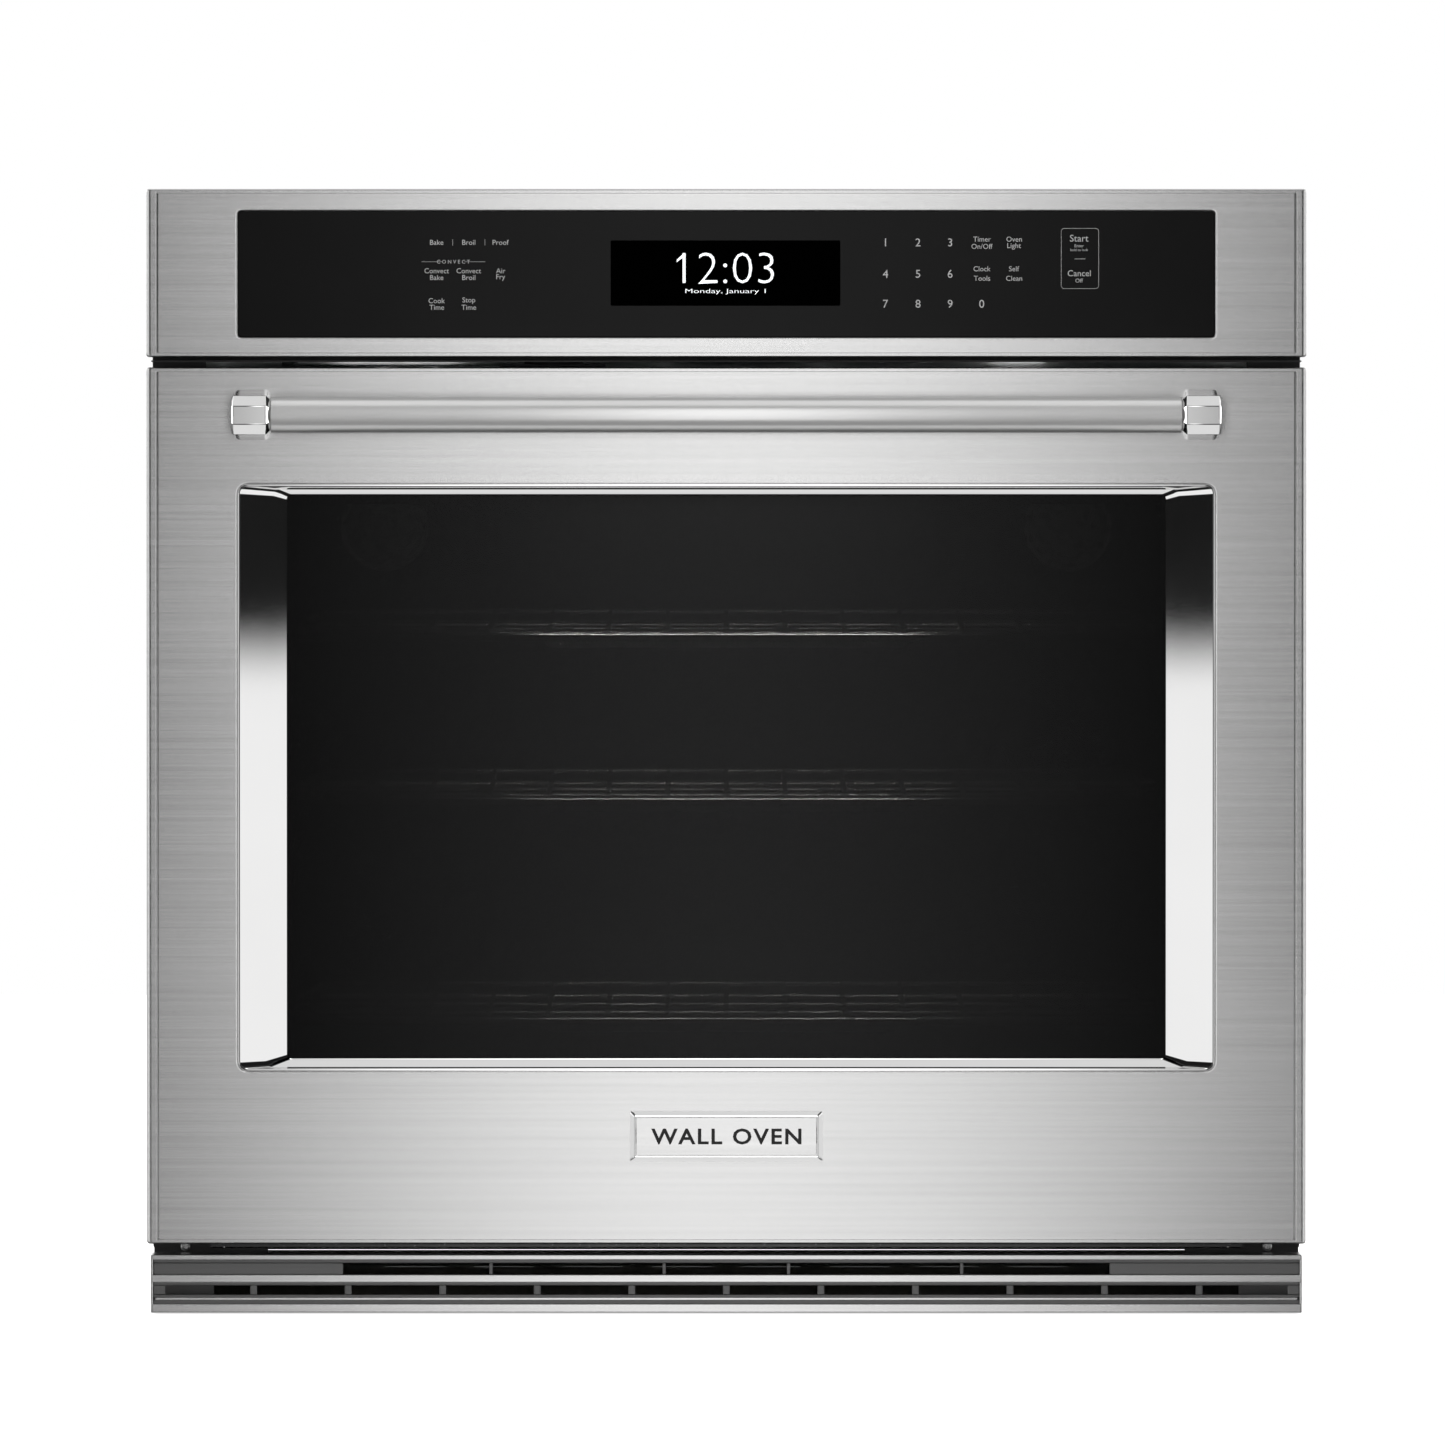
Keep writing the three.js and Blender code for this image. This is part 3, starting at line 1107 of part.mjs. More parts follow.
// The coil spring's envelope, ribbed once per coil.
function hingeSpring() {
  const low = Z_HINGE_BODY + HINGE_BODY_LENGTH - HINGE_CHEEK - GAP - SPRING_LENGTH;
  const pitch = SPRING_LENGTH / SPRING_COILS;
  const profile = [new THREE.Vector2(0, 0)];
  for (let i = 0; i < SPRING_COILS; i++) {
    profile.push(new THREE.Vector2(SPRING_RADIUS, (i + 0.2) * pitch));
    profile.push(new THREE.Vector2(SPRING_RADIUS - 1.2, (i + 0.7) * pitch));
  }
  profile.push(new THREE.Vector2(0, SPRING_LENGTH));
  const coil = new THREE.LatheGeometry(profile, 8);
  const y = (Y_HINGE_BODY_FRONT + HINGE_CHEEK + Y_HINGE_BODY_BACK) / 2;
  return build([coil.rotateX(Math.PI / 2).translate(HINGE_X, y, low)]);
}

// ---- Door -------------------------------------------------------------------------------------

const SKIN_DEPTH = 31;

function windowOpening(margin, radius) {
  return roundedRect(
    -HALF_WINDOW + margin, HALF_WINDOW - margin, Z_WINDOW_LOW + margin, Z_WINDOW_HIGH - margin, radius,
  );
}

// The skin: a folded front with returns on all four sides and slots where the hinge arms pass.
function doorOuterPanel() {
  const { outer, inner } = foldedFront(HALF_FRONT, SKIN_DEPTH);
  const shell = upright(outer, Z_DOOR, Z_DOOR_TOP, 3);
  const hollow = upright(inner, Z_DOOR + CASING, Z_DOOR_TOP - CASING);
  const window = facing(windowOpening(0, WINDOW_CORNER), Y_FACE - 5, Y_FACE + 5);
  const half = HINGE_ARM_WIDTH / 2 + SLIDE_GAP;
  const armSlots = [-1, 1].map((side) =>
    box(
      side * HINGE_X - half, side * HINGE_X + half,
      Y_HINGE - HINGE_BOSS_RADIUS - 1, Y_FACE + SKIN_DEPTH + 5, Z_DOOR - 5, Z_DOOR + 5,
    ),
  );
  return build([shell], [hollow, window, ...armSlots]);
}

const BEZEL_RIM = 1; // flat rim before the slope starts

// A polished funnel from the cut-out in the skin down to the glass, with a flange behind the skin.
function windowBezel() {
  const back = Y_FACE + BEZEL_DEPTH;
  const block = facing(windowOpening(GAP, WINDOW_CORNER - GAP), Y_FACE, back);
  const flangeFront = Y_FACE + CASING + GAP;
  const flangeBack = flangeFront + BEZEL_FLANGE_THICKNESS;
  const flange = facing(windowOpening(-BEZEL_FLANGE, WINDOW_CORNER), flangeFront, flangeBack);
  const rim = GAP + BEZEL_RIM;
  const mouthHalf = HALF_BEZEL - BEZEL_RIM;
  const mouth = [-mouthHalf, mouthHalf, Z_WINDOW_LOW + rim, Z_WINDOW_HIGH - rim];
  const sight = [-HALF_SIGHT, HALF_SIGHT, Z_SIGHT_LOW, Z_SIGHT_HIGH];
  const slope = taperedBlock(mouth, sight, Y_FACE - 0.01, back - 1.5);
  const through = box(-HALF_SIGHT, HALF_SIGHT, back - 2, back + 5, Z_SIGHT_LOW, Z_SIGHT_HIGH);
  return build([block, flange], [slope, through]);
}

function pane(y, thickness) {
  const half = HALF_SIGHT + GLASS_LAP;
  return box(-half, half, y, y + thickness, Z_SIGHT_LOW - GLASS_LAP, Z_SIGHT_HIGH + GLASS_LAP);
}

const Y_OUTER_GLASS = Y_FACE + BEZEL_DEPTH + GAP;
const Y_MIDDLE_GLASS = Y_OUTER_GLASS + PANE_SPACING;
const Y_INNER_GLASS = Y_DOOR_BACK - CASING - GAP - GLASS_THICKNESS;
const LINER_SIGHT = 6; // the liner's opening is this much smaller than the sight opening
const LINER_SIGHT_CORNER = 12;

function doorLiner() {
  const half = HALF_FRONT - LINER_INSET;
  const low = Z_DOOR + LINER_INSET;
  const high = Z_DOOR_TOP - LINER_INSET;
  const front = Y_DOOR_BACK - LINER_RIM;
  const plateFront = Y_DOOR_BACK - CASING;
  const shell = box(-half, half, front, Y_DOOR_BACK, low, high);
  const hollow = box(-half + CASING, half - CASING, front - 5, plateFront, low + CASING, high - CASING);
  const sightHalf = HALF_SIGHT - LINER_SIGHT;
  const sight = roundedRect(
    -sightHalf, sightHalf, Z_SIGHT_LOW + LINER_SIGHT, Z_SIGHT_HIGH - LINER_SIGHT, LINER_SIGHT_CORNER,
  );
  const window = facing(sight, Y_DOOR_BACK - 10, Y_DOOR_BACK + 5);
  const armSlots = hingeSlot(front - 5, Y_DOOR_BACK + 5, 3 * HINGE_ABOVE_DOOR_BOTTOM, HINGE_BOSS_RADIUS + 3);
  const notchHalf = HALF_HINGE_BODY + HINGE_PIN_HEAD + SLIDE_GAP;
  const rimNotches = [-HINGE_X, HINGE_X].map((x) =>
    box(x - notchHalf, x + notchHalf, front - 5, plateFront, low - 5, low + 5),
  );
  return build(
    [shell],
    [hollow, window, ...armSlots, ...rimNotches, latchSlot(Y_DOOR_BACK - 5, Y_DOOR_BACK + 5)],
  );
}

// A glass-fibre frame round the panes, with room for the hinges below and the latch above.
function doorInsulation() {
  const half = HINGE_X - HINGE_ARM_WIDTH / 2 - HINGE_CHEEK - 3;
  const front = Y_OUTER_GLASS + GLASS_THICKNESS + 1;
  const back = front + INSULATION_IN_DOOR;
  const margin = GLASS_LAP + 4;
  const low = Z_DOOR + 2 * LINER_INSET;
  const high = Z_LATCH - 10;
  const inner = HALF_SIGHT + margin;
  const frame = box(-half, half, front, back, low, high);
  const panes = box(-inner, inner, front - 5, back + 5, Z_SIGHT_LOW - margin, Z_SIGHT_HIGH + margin);
  return build([frame], [panes]);
}

// ---- Handle and badge -------------------------------------------------------------------------

const HALF_HANDLE = HANDLE_LENGTH / 2;
const Y_HANDLE_AXIS = Y_HANDLE + HANDLE_END_SIZE / 2;

// A bar turned down at both ends to spigots that fit the handle ends.
function handleBar() {
  const shoulder = HALF_HANDLE - HANDLE_END_SIZE - GAP;
  const tip = shoulder + HANDLE_SPIGOT_LENGTH;
  const thin = HANDLE_SPIGOT_RADIUS;
  const thick = HANDLE_BAR_RADIUS;
  const profile = [
    [0, -tip], [thin, -tip], [thin, -shoulder], [thick, -shoulder],
    [thick, shoulder], [thin, shoulder], [thin, tip], [0, tip],
  ].map(([r, x]) => new THREE.Vector2(r, x));
  const bar = new THREE.LatheGeometry(profile, 28);
  return build([bar.rotateZ(Math.PI / 2).translate(0, Y_HANDLE_AXIS, Z_HANDLE)]);
}

// A chamfered block on the bar's end and the post that carries it to the door.
function handleEnd() {
  const r = HANDLE_END_SIZE / 2;
  const c = HANDLE_END_CHAMFER;
  const f = r - c;
  const corners = [[-r, -f], [-f, -r], [f, -r], [r, -f], [r, f], [f, r], [-f, r], [-r, f]];
  const section = polygon(corners.map(([y, z]) => [y + Y_HANDLE_AXIS, z + Z_HANDLE]));
  const x0 = HALF_HANDLE - HANDLE_END_SIZE;
  const block = sideways(section, x0, HALF_HANDLE);
  const xm = HALF_HANDLE - HANDLE_END_SIZE / 2;
  const w = HANDLE_POST_WIDTH / 2;
  const h = HANDLE_POST_HEIGHT / 2;
  const post = taperedBlock(
    [xm - w, xm + w, Z_HANDLE - r + 1, Z_HANDLE + r - 1],
    [xm - w, xm + w, Z_HANDLE - h, Z_HANDLE + h],
    Y_HANDLE_AXIS + 4,
    Y_FACE - GAP,
  );
  const socketLength = 5 + HANDLE_SPIGOT_LENGTH + GAP;
  const socket = rod("x", [x0 - 5, Y_HANDLE_AXIS, Z_HANDLE], socketLength, HANDLE_SPIGOT_RADIUS + GAP, 28);
  return build([block, post], [socket]);
}

function badgePlate() {
  const z = Z_DOOR + BADGE_ABOVE_DOOR_BOTTOM;
  const w = BADGE_WIDTH / 2;
  const h = BADGE_HEIGHT / 2;
  const back = Y_FACE - GAP;
  const front = back - BADGE_THICKNESS;
  const rim = [-w + BADGE_RIM, w - BADGE_RIM, z - h + BADGE_RIM, z + h - BADGE_RIM];
  const plate = taperedBlock(rim, [-w, w, z - h, z + h], front, back);
  return build([plate]);
}

// ---- Racks ------------------------------------------------------------------------------------

const RACK_UNDER_REST = GAP; // between a rack's side rail and the guide it lies on

// A wire shelf: two side rails, a front rail with a grab wire, a raised back stop and cross wires.
function rack(position) {
  const railX = HALF_CAVITY - RACK_RAIL_RADIUS - 3;
  const top = Z_FIRST_RACK + RACK_PITCH * position + RACK_UNDER_REST;
  const z = top + RACK_RAIL_RADIUS;
  const front = Y_CAVITY_FRONT + RACK_FRONT_SETBACK;
  const back = Y_CAVITY_BACK - FAN_COVER_DEPTH - 10;
  const wireTop = z + RACK_RAIL_RADIUS;
  const rails = [-1, 1].map((side) => rod("y", [side * railX, front, z], back - front, RACK_RAIL_RADIUS, 6));
  const frontRail = rod("x", [-railX, front, z], 2 * railX, RACK_RAIL_RADIUS, 6);
  const backRail = rod("x", [-railX, back, z], 2 * railX, RACK_RAIL_RADIUS, 6);
  const stopHalf = (RACK_WIRE_PITCH * (RACK_WIRES - 1)) / 2;
  const backstop = rod("x", [-stopHalf, back, z + RACK_BACKSTOP], 2 * stopHalf, RACK_WIRE_RADIUS, 4);
  const stopPosts = [-1, 1].map((side) =>
    rod("z", [side * (stopHalf - 3), back, z], RACK_BACKSTOP + 1, RACK_WIRE_RADIUS, 4),
  );
  const grabZ = z - RACK_GRAB_DROP;
  const grab = rod("x", [-RACK_GRAB_HALF, front - 1, grabZ], 2 * RACK_GRAB_HALF, RACK_WIRE_RADIUS, 4);
  const grabPosts = [-1, 1].map((side) =>
    rod("z", [side * (RACK_GRAB_HALF - 3), front - 1, grabZ], RACK_GRAB_DROP, RACK_WIRE_RADIUS, 4),
  );
  const wires = evenly(RACK_WIRES, (i) => {
    const x = (i - (RACK_WIRES - 1) / 2) * RACK_WIRE_PITCH;
    return rod("y", [x, front, wireTop - RACK_WIRE_RADIUS + 1], back - front, RACK_WIRE_RADIUS, 4);
  });
  const tie = rod("x", [-railX, (front + back) / 2, z - 1], 2 * railX, RACK_WIRE_RADIUS, 4);
  return build([...rails, frontRail, backRail, backstop, ...stopPosts, grab, ...grabPosts, ...wires, tie]);
}

// ---- Assembly ---------------------------------------------------------------------------------

const chassis = group("chassis");
piece(chassis, "base_pan", basePan(), galvanised());
pair(chassis, "side_panel", sidePanel(), galvanised);
piece(chassis, "rear_cover", rearCover(), galvanised());
piece(chassis, "top_cover", topCover(), galvanised());
piece(chassis, "upper_deck", upperDeck(), galvanised());
pair(chassis, "mounting_flange", mountingFlange(), blackSteel);
piece(chassis, "lower_vent_trim", lowerVentTrim(), brushedSteel());

const consoleGroup = group("console");
piece(consoleGroup, "control_panel_frame", controlPanelFrame(), brushedSteel());
piece(consoleGroup, "control_glass", controlGlass(), blackGlass());
piece(consoleGroup, "display_board", displayBoard(), board());
piece(consoleGroup, "console_bracket", consoleBracket(), blackSteel());
piece(consoleGroup, "relay_board", relayBoard(), board());
piece(consoleGroup, "terminal_box", terminalBox(), galvanised());

const cavity = group("cavity");
piece(cavity, "cavity_liner", cavityLiner(), enamel());
piece(cavity, "cavity_back", cavityBack(), enamel());
piece(cavity, "cavity_front_frame", cavityFrontFrame(), enamel());
piece(cavity, "door_gasket", doorGasket(), gasketBraid());
piece(cavity, "insulation_blanket", insulationBlanket(), blanket());
piece(cavity, "temperature_sensor", temperatureSensor(), satinSteel());
piece(cavity, "lamp_housing_right", lampHousing(1), galvanised());
piece(cavity, "lamp_housing_left", lampHousing(-1), galvanised());
piece(cavity, "lamp_lens_right", lampLens(1), clearGlass());
piece(cavity, "lamp_lens_left", lampLens(-1), clearGlass());
piece(cavity, "broil_element", broilElement(), element());
piece(cavity, "bake_element", bakeElement(), element());
piece(cavity, "convection_element", convectionElement(), element());

const air = group("air");
piece(air, "fan_cover", fanCover(), enamel());
piece(air, "convection_fan", convectionFan(), castAluminium());
piece(air, "fan_motor", fanMotor(), castAluminium());
piece(air, "blower_housing", blowerHousing(), galvanised());
piece(air, "blower_wheel", blowerWheel(), castAluminium());
piece(air, "blower_motor", blowerMotor(), castAluminium());
piece(air, "air_duct", airDuct(), galvanised());
piece(air, "vent_tube", ventTube(), galvanised());

const latch = group("latch");
piece(latch, "latch_hook", latchHook(), satinSteel());
piece(latch, "latch_motor", latchMotor(), blackPlastic());

const hinges = group("hinges");
pair(hinges, "hinge_arm", hingeArm(), satinSteel);
pair(hinges, "hinge_receiver", hingeReceiver(), galvanised);
pair(hinges, "hinge_body", hingeBody(), galvanised);
pair(hinges, "hinge_spring", hingeSpring(), satinSteel);

const door = group("door");
piece(door, "door_outer_panel", doorOuterPanel(), brushedSteel());
piece(door, "window_bezel", windowBezel(), polishedSteel());
piece(door, "outer_glass", pane(Y_OUTER_GLASS, GLASS_THICKNESS), clearGlass());
piece(door, "middle_glass", pane(Y_MIDDLE_GLASS, MIDDLE_GLASS_THICKNESS), clearGlass());
piece(door, "inner_glass", pane(Y_INNER_GLASS, GLASS_THICKNESS), clearGlass());
piece(door, "door_liner", doorLiner(), enamel());
piece(door, "door_insulation", doorInsulation(), blanket());
piece(door, "handle_bar", handleBar(), satinSteel());
pair(door, "handle_end", handleEnd(), polishedSteel);
piece(door, "badge_plate", badgePlate(), polishedSteel());

const racks = group("racks");
piece(racks, "rack_upper", rack(RACK_POSITIONS - 1), wireSteel());
piece(racks, "rack_middle", rack(Math.floor(RACK_POSITIONS / 2)), wireSteel());
piece(racks, "rack_lower", rack(0), wireSteel());

export default oven;
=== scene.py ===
"""A built-in wall oven with a drop-down door, finished around its packed mechanical frame.

Metres, +Z up, front towards -Y. Every piece rides the body that moves it in the frame.
"""

import math
from functools import cache

import bmesh
import bpy
import numpy as np
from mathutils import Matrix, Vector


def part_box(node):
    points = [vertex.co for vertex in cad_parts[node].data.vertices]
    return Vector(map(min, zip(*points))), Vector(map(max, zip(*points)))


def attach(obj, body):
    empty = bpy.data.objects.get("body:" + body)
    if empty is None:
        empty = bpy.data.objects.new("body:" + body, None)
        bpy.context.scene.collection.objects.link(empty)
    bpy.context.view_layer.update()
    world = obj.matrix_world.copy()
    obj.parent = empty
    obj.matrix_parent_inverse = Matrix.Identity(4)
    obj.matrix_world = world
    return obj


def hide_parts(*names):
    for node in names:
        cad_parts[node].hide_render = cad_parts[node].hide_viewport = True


bl_info = {
    "name": "Wall oven",
    "version": (1, 0, 0),
    "blender": (4, 5, 0),
    "location": "View3D > Sidebar > Wall oven",
    "description": "Builds a wall oven's visible pieces and finishes around its mechanical frame",
    "category": "Object",
}

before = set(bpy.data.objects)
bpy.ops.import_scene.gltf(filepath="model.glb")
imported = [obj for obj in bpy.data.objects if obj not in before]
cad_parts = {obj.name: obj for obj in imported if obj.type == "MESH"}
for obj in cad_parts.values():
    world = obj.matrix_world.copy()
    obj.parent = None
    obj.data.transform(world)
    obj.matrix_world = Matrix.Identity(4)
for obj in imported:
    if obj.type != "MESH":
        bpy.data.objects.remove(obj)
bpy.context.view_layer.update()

# ---- Sizes in metres that the frame's boxes don't give -----------------------------------------

SHEET = 0.001
FOLD = 0.0025  # radius of the folded side edges of the front panels
FOLD_TOP = 0.0012
# Inset from the side, inset from the top and depth behind the face, from the edge's rear to the front.
FRONT_EDGE = (
    (0, 0, 0.0018), (0, 0, 0.0014), (0.0001, 0.0001, 0.0012), (0.0003, 0.0002, 0.00102),
    (0.0006, 0.0003, 0.00085),
    (0.0019, 0.0007, 0.00014), (0.0022, 0.0009, 0.00004), (0.0026, 0.0012, 0), (0.0032, 0.0018, 0),
)
GROOVE_INSET = 0.0068  # the pressed line beside each side edge of the front panels
GROOVE_DEPTH = 0.0002
BEZEL_FLANGE = 0.007
BEZEL_SIDE = 0.0316
BEZEL_TOP = 0.0072
BEZEL_BOTTOM = 0.0078
FIT = 0.0003
REAR_SCREW_HEIGHT = 0.0018


def corners(node):
    """The lowest and highest corner of a frame node, as two arrays."""
    low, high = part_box(node)
    return np.array(low), np.array(high)


FRONT_LOW, FRONT_HIGH = corners("door_outer_panel")
FACE = FRONT_LOW[1]


# ---- Shapes ------------------------------------------------------------------------------------
# A shape is (points, faces): an array of points, and lists of point numbers.


def grid_faces(rows, columns, closed_rows, closed_columns):
    """Quads between neighbouring rows and columns of a grid of points."""
    i = np.arange(rows if closed_rows else rows - 1)[:, None]
    j = np.arange(columns if closed_columns else columns - 1)[None, :]
    after_i = (i + 1) % rows
    after_j = (j + 1) % columns
    quads = np.stack(
        [i * columns + j, i * columns + after_j, after_i * columns + after_j, after_i * columns + j], -1
    )
    return quads.reshape(-1, 4).tolist()


def skin(grid, closed_rows=False):
    """A grid whose columns close on themselves. Its two end rows are capped, or joined."""
    rows, columns = grid.shape[:2]
    faces = grid_faces(rows, columns, closed_rows, True)
    if not closed_rows:
        faces.append(list(range(columns)))
        faces.append(list(range((rows - 1) * columns, rows * columns))[::-1])
    return grid.reshape(-1, 3), faces


def together(shapes):
    """Several shapes as one: each one's face numbers are raised by the points before it."""
    points, faces, count = [], [], 0
    for some, drawn in shapes:
        points.append(some)
        faces.extend([[n + count for n in face] for face in drawn])
        count += len(some)
    return np.concatenate(points), faces


def mirrored(shape):
    """The shape's image across the middle plane: x changes sign and each face turns round."""
    points, faces = shape
    return points * [-1, 1, 1], [face[::-1] for face in faces]


def outline(x0, x1, z0, z1, radius, y, steps=5):
    """A rounded rectangle facing front: four quarter circles joined by straight edges. A point just
    before and just after each quarter circle keeps the shading of the straight edges flat."""
    spare = min(x1 - x0, z1 - z0) / 2 - radius
    reach = min(0.001, max(0.3 * spare, 1e-6))
    angle = np.arange(-1, 3)[:, None] * math.pi / 2 + np.linspace(0, math.pi / 2, steps + 1)
    arcs = np.stack([np.cos(angle), np.sin(angle)], -1) * radius
    ahead = np.stack([-np.sin(angle), np.cos(angle)], -1) * reach
    arcs = np.concatenate([arcs[:, :1] - ahead[:, :1], arcs, arcs[:, -1:] + ahead[:, -1:]], 1)
    centres = [(x1 - radius, z0 + radius), (x1 - radius, z1 - radius), (x0 + radius, z1 - radius),
               (x0 + radius, z0 + radius)]
    flat = (arcs + np.array(centres)[:, None]).reshape(-1, 2)
    return np.stack([flat[:, 0], np.full(len(flat), y), flat[:, 1]], -1)


def slab(low, high, radius=0.001, edge=0.0005, axis=1, steps=4):
    """A plate between two corners, with rounded corners across the axis and rounded edges along it."""
    order = {0: [1, 0, 2], 1: [0, 1, 2], 2: [0, 2, 1]}[axis]
    a, b = np.array(low, float)[order], np.array(high, float)[order]
    turn = np.linspace(0, math.pi / 2, 4)
    rows = [(1.5 * edge, a[1])]
    rows += [(edge * (1 - math.sin(t)), a[1] + edge * (1 - math.cos(t))) for t in turn]
    rows += [(edge * (1 - math.cos(t)), b[1] - edge * (1 - math.sin(t))) for t in turn]
    rows += [(1.5 * edge, b[1])]
    grid = [
        outline(a[0] + inset, b[0] - inset, a[2] + inset, b[2] - inset, max(radius - inset, radius / 4),
                y, steps)
        for inset, y in rows
    ]
    points, faces = skin(np.stack(grid))
    return points[:, order], faces


def box_of(x0, x1, y0, y1, z0, z1, **rounding):
    """A slab from its limits along each axis."""
    return slab((x0, y0, z0), (x1, y1, z1), **rounding)


def circle(radius, sides):
    """Section offsets on a circle."""
    angle = np.linspace(0, 2 * math.pi, sides, endpoint=False)
    return np.stack([radius * np.cos(angle), radius * np.sin(angle)], -1)


def rectangle(half_a, half_b):
    """Section offsets at the four corners of a rectangle."""
    return np.array([(-half_a, -half_b), (half_a, -half_b), (half_a, half_b), (-half_a, half_b)])


def sweep(path, section, normal, closed=False):
    """A section carried along a path. At each point it is spanned by tangent x normal and its own normal."""
    path = np.asarray(path, float)
    if closed:
        tangent = np.roll(path, -1, 0) - np.roll(path, 1, 0)
    else:
        tangent = np.gradient(path, axis=0)
    side = np.cross(tangent, np.broadcast_to(np.asarray(normal, float), path.shape))
    side /= np.linalg.norm(side, axis=1, keepdims=True)
    rise = np.cross(side, tangent)
    rise /= np.linalg.norm(rise, axis=1, keepdims=True)
    grid = path[:, None] + section[None, :, :1] * side[:, None] + section[None, :, 1:] * rise[:, None]
    return skin(grid, closed)


def lathe(profile, centre, axis, sides=32):
    """A profile of (place along the axis, radius) turned about an axis through the centre."""
    profile = np.array(profile, float)
    angle = np.linspace(0, 2 * math.pi, sides, endpoint=False)
    others = [n for n in range(3) if n != axis]
    grid = np.zeros((len(profile), sides, 3))
    grid[..., axis] = profile[:, :1]
    grid[..., others[0]] = profile[:, 1:] * np.cos(angle)
    grid[..., others[1]] = profile[:, 1:] * np.sin(angle)
    return skin(grid + np.array(centre))


def rounded_ends(low, high, radius, edge, steps=4):
    """A lathe profile: a cylinder whose two ends have rounded edges."""
    turn = np.linspace(0, math.pi / 2, steps)
    start = [(low + edge * (1 - math.cos(t)), radius - edge * (1 - math.sin(t))) for t in turn]
    end = [(high - edge * (1 - math.sin(t)), radius - edge * (1 - math.cos(t))) for t in turn]
    return start + end


def bent(points, radius, steps=5):
    """A polyline with each inner corner replaced by a curve that leaves both legs at the bend radius."""
    points = [np.array(p, float) for p in points]
    path = [points[0]]
    share = np.linspace(0, 1, steps + 1)[:, None]
    for before, corner, after in zip(points, points[1:], points[2:]):
        back, ahead = before - corner, after - corner
        reach = min(radius, np.linalg.norm(back) * 0.45, np.linalg.norm(ahead) * 0.45)
        start = corner + back / np.linalg.norm(back) * reach
        end = corner + ahead / np.linalg.norm(ahead) * reach
        path.extend((1 - share) ** 2 * start + 2 * share * (1 - share) * corner + share**2 * end)
    return np.array(path + [points[-1]])


def folded_front(low, high, opening, depth):
    """A sheet folded back on four sides around an opening: nested outlines from the rear edge of the
    return, round the fold, across the front, over the opening's rolled edge and back inside."""
    x0, z0 = low[0], low[2]
    x1, z1 = high[0], high[2]
    rear = FACE + depth
    outer = lambda inset, rise, y: outline(
        x0 + inset, x1 - inset, z0 + rise, z1 - rise, max(0.002 - inset, 0.0006), y
    )
    ox0, ox1, oz0, oz1, radius = opening
    hole = lambda grow, y: outline(ox0 - grow, ox1 + grow, oz0 - grow, oz1 + grow, radius + grow, y)
    turn = np.linspace(0, math.pi / 2, 8)
    rows = [outer(0, 0, rear)]
    rows += [outer(aside, rise, FACE + deep) for aside, rise, deep in FRONT_EDGE]
    groove = ((-0.0008, 0.0), (-0.0004, 0.0), (0.0, GROOVE_DEPTH), (0.0004, 0.0), (0.0012, 0.0))
    rows += [outer(GROOVE_INSET + aside, FOLD_TOP + 0.0016 + aside / 2, FACE + deep) for aside,
             deep in groove]
    roll = 0.0008
    rows += [hole(roll + 0.0006, FACE)]
    rows += [hole(roll * (1 - math.sin(t)), FACE + roll * (1 - math.cos(t))) for t in turn[::2]]
    rows += [hole(0, FACE + SHEET), hole(0.0006, FACE + SHEET)]
    rows += [outer(FOLD + 0.0006, FOLD + 0.0006, FACE + SHEET), outer(FOLD, FOLD, FACE + SHEET)]
    rows += [outer(SHEET, SHEET, FACE + FOLD + SHEET), outer(SHEET, SHEET, rear)]
    return skin(np.stack(rows), closed_rows=True)


def screw_head(centre, facing, radius=0.0036, height=0.0018):
    """A pan head with a cross recess: height falls with the square of the radius, and is cut by the
    recess where the angle is near a quarter turn and the radius is small."""
    sides = 24
    angle = np.linspace(0, 2 * math.pi, sides, endpoint=False)
    share = np.array([1.0, 1.0, 0.93, 0.78, 0.55, 0.5, 0.12])
    level = np.array([0.0, 0.45, 0.75, 0.92, 1.0, 1.0, 1.0])
    cross = np.abs(np.cos(2 * angle)) > 0.8
    depth = np.where(cross & (share[:, None] <= 0.5), 0.55, 0.0)
    deep = (level[:, None] - depth) * height
    axis, sign = facing
    others = [n for n in range(3) if n != axis]
    grid = np.zeros((len(share), sides, 3))
    grid[..., axis] = sign * deep
    grid[..., others[0]] = radius * share[:, None] * np.cos(angle)
    grid[..., others[1]] = radius * share[:, None] * np.sin(angle)
    return skin(grid + np.array(centre))


# ---- Pieces ------------------------------------------------------------------------------------


def linked(name, data):
    """A new object in the scene that holds the data."""
    made = bpy.data.objects.new(name, data)
    bpy.context.scene.collection.objects.link(made)
    return made


def evaluated(thing):
    """A new mesh from an object with its modifiers applied."""
    graph = bpy.context.evaluated_depsgraph_get()
    return bpy.data.meshes.new_from_object(thing.evaluated_get(graph))


def values_of(mesh, key="co"):
    """The places or normals of a mesh's points, as an array of rows."""
    numbers = np.empty(len(mesh.vertices) * 3)
    mesh.vertices.foreach_get(key, numbers)
    return numbers.reshape(-1, 3)


def bevelled(piece, width, segments, angle):
    """Adds a live Bevel on the edges that are sharper than the angle."""
    bevel = piece.modifiers.new("rounded edges", "BEVEL")
    bevel.width = width
    bevel.segments = segments
    bevel.limit_method = "ANGLE"
    bevel.angle_limit = math.radians(angle)
    return bevel


def shaded(mesh, angle=32):
    """Smooth faces, with a sharp edge wherever two faces meet at more than the angle."""
    mesh.polygons.foreach_set("use_smooth", np.ones(len(mesh.polygons), bool))
    mesh.set_sharp_from_angle(angle=math.radians(angle))


def put(name, mesh, finish, body, stands_for=()):
    """Links a mesh as a piece, gives it its finish and lets it ride its body."""
    piece = linked(name, mesh)
    mesh.materials.clear()
    mesh.materials.append(finish)
    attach(piece, body)
    if stands_for:
        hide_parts(*stands_for)
    return piece


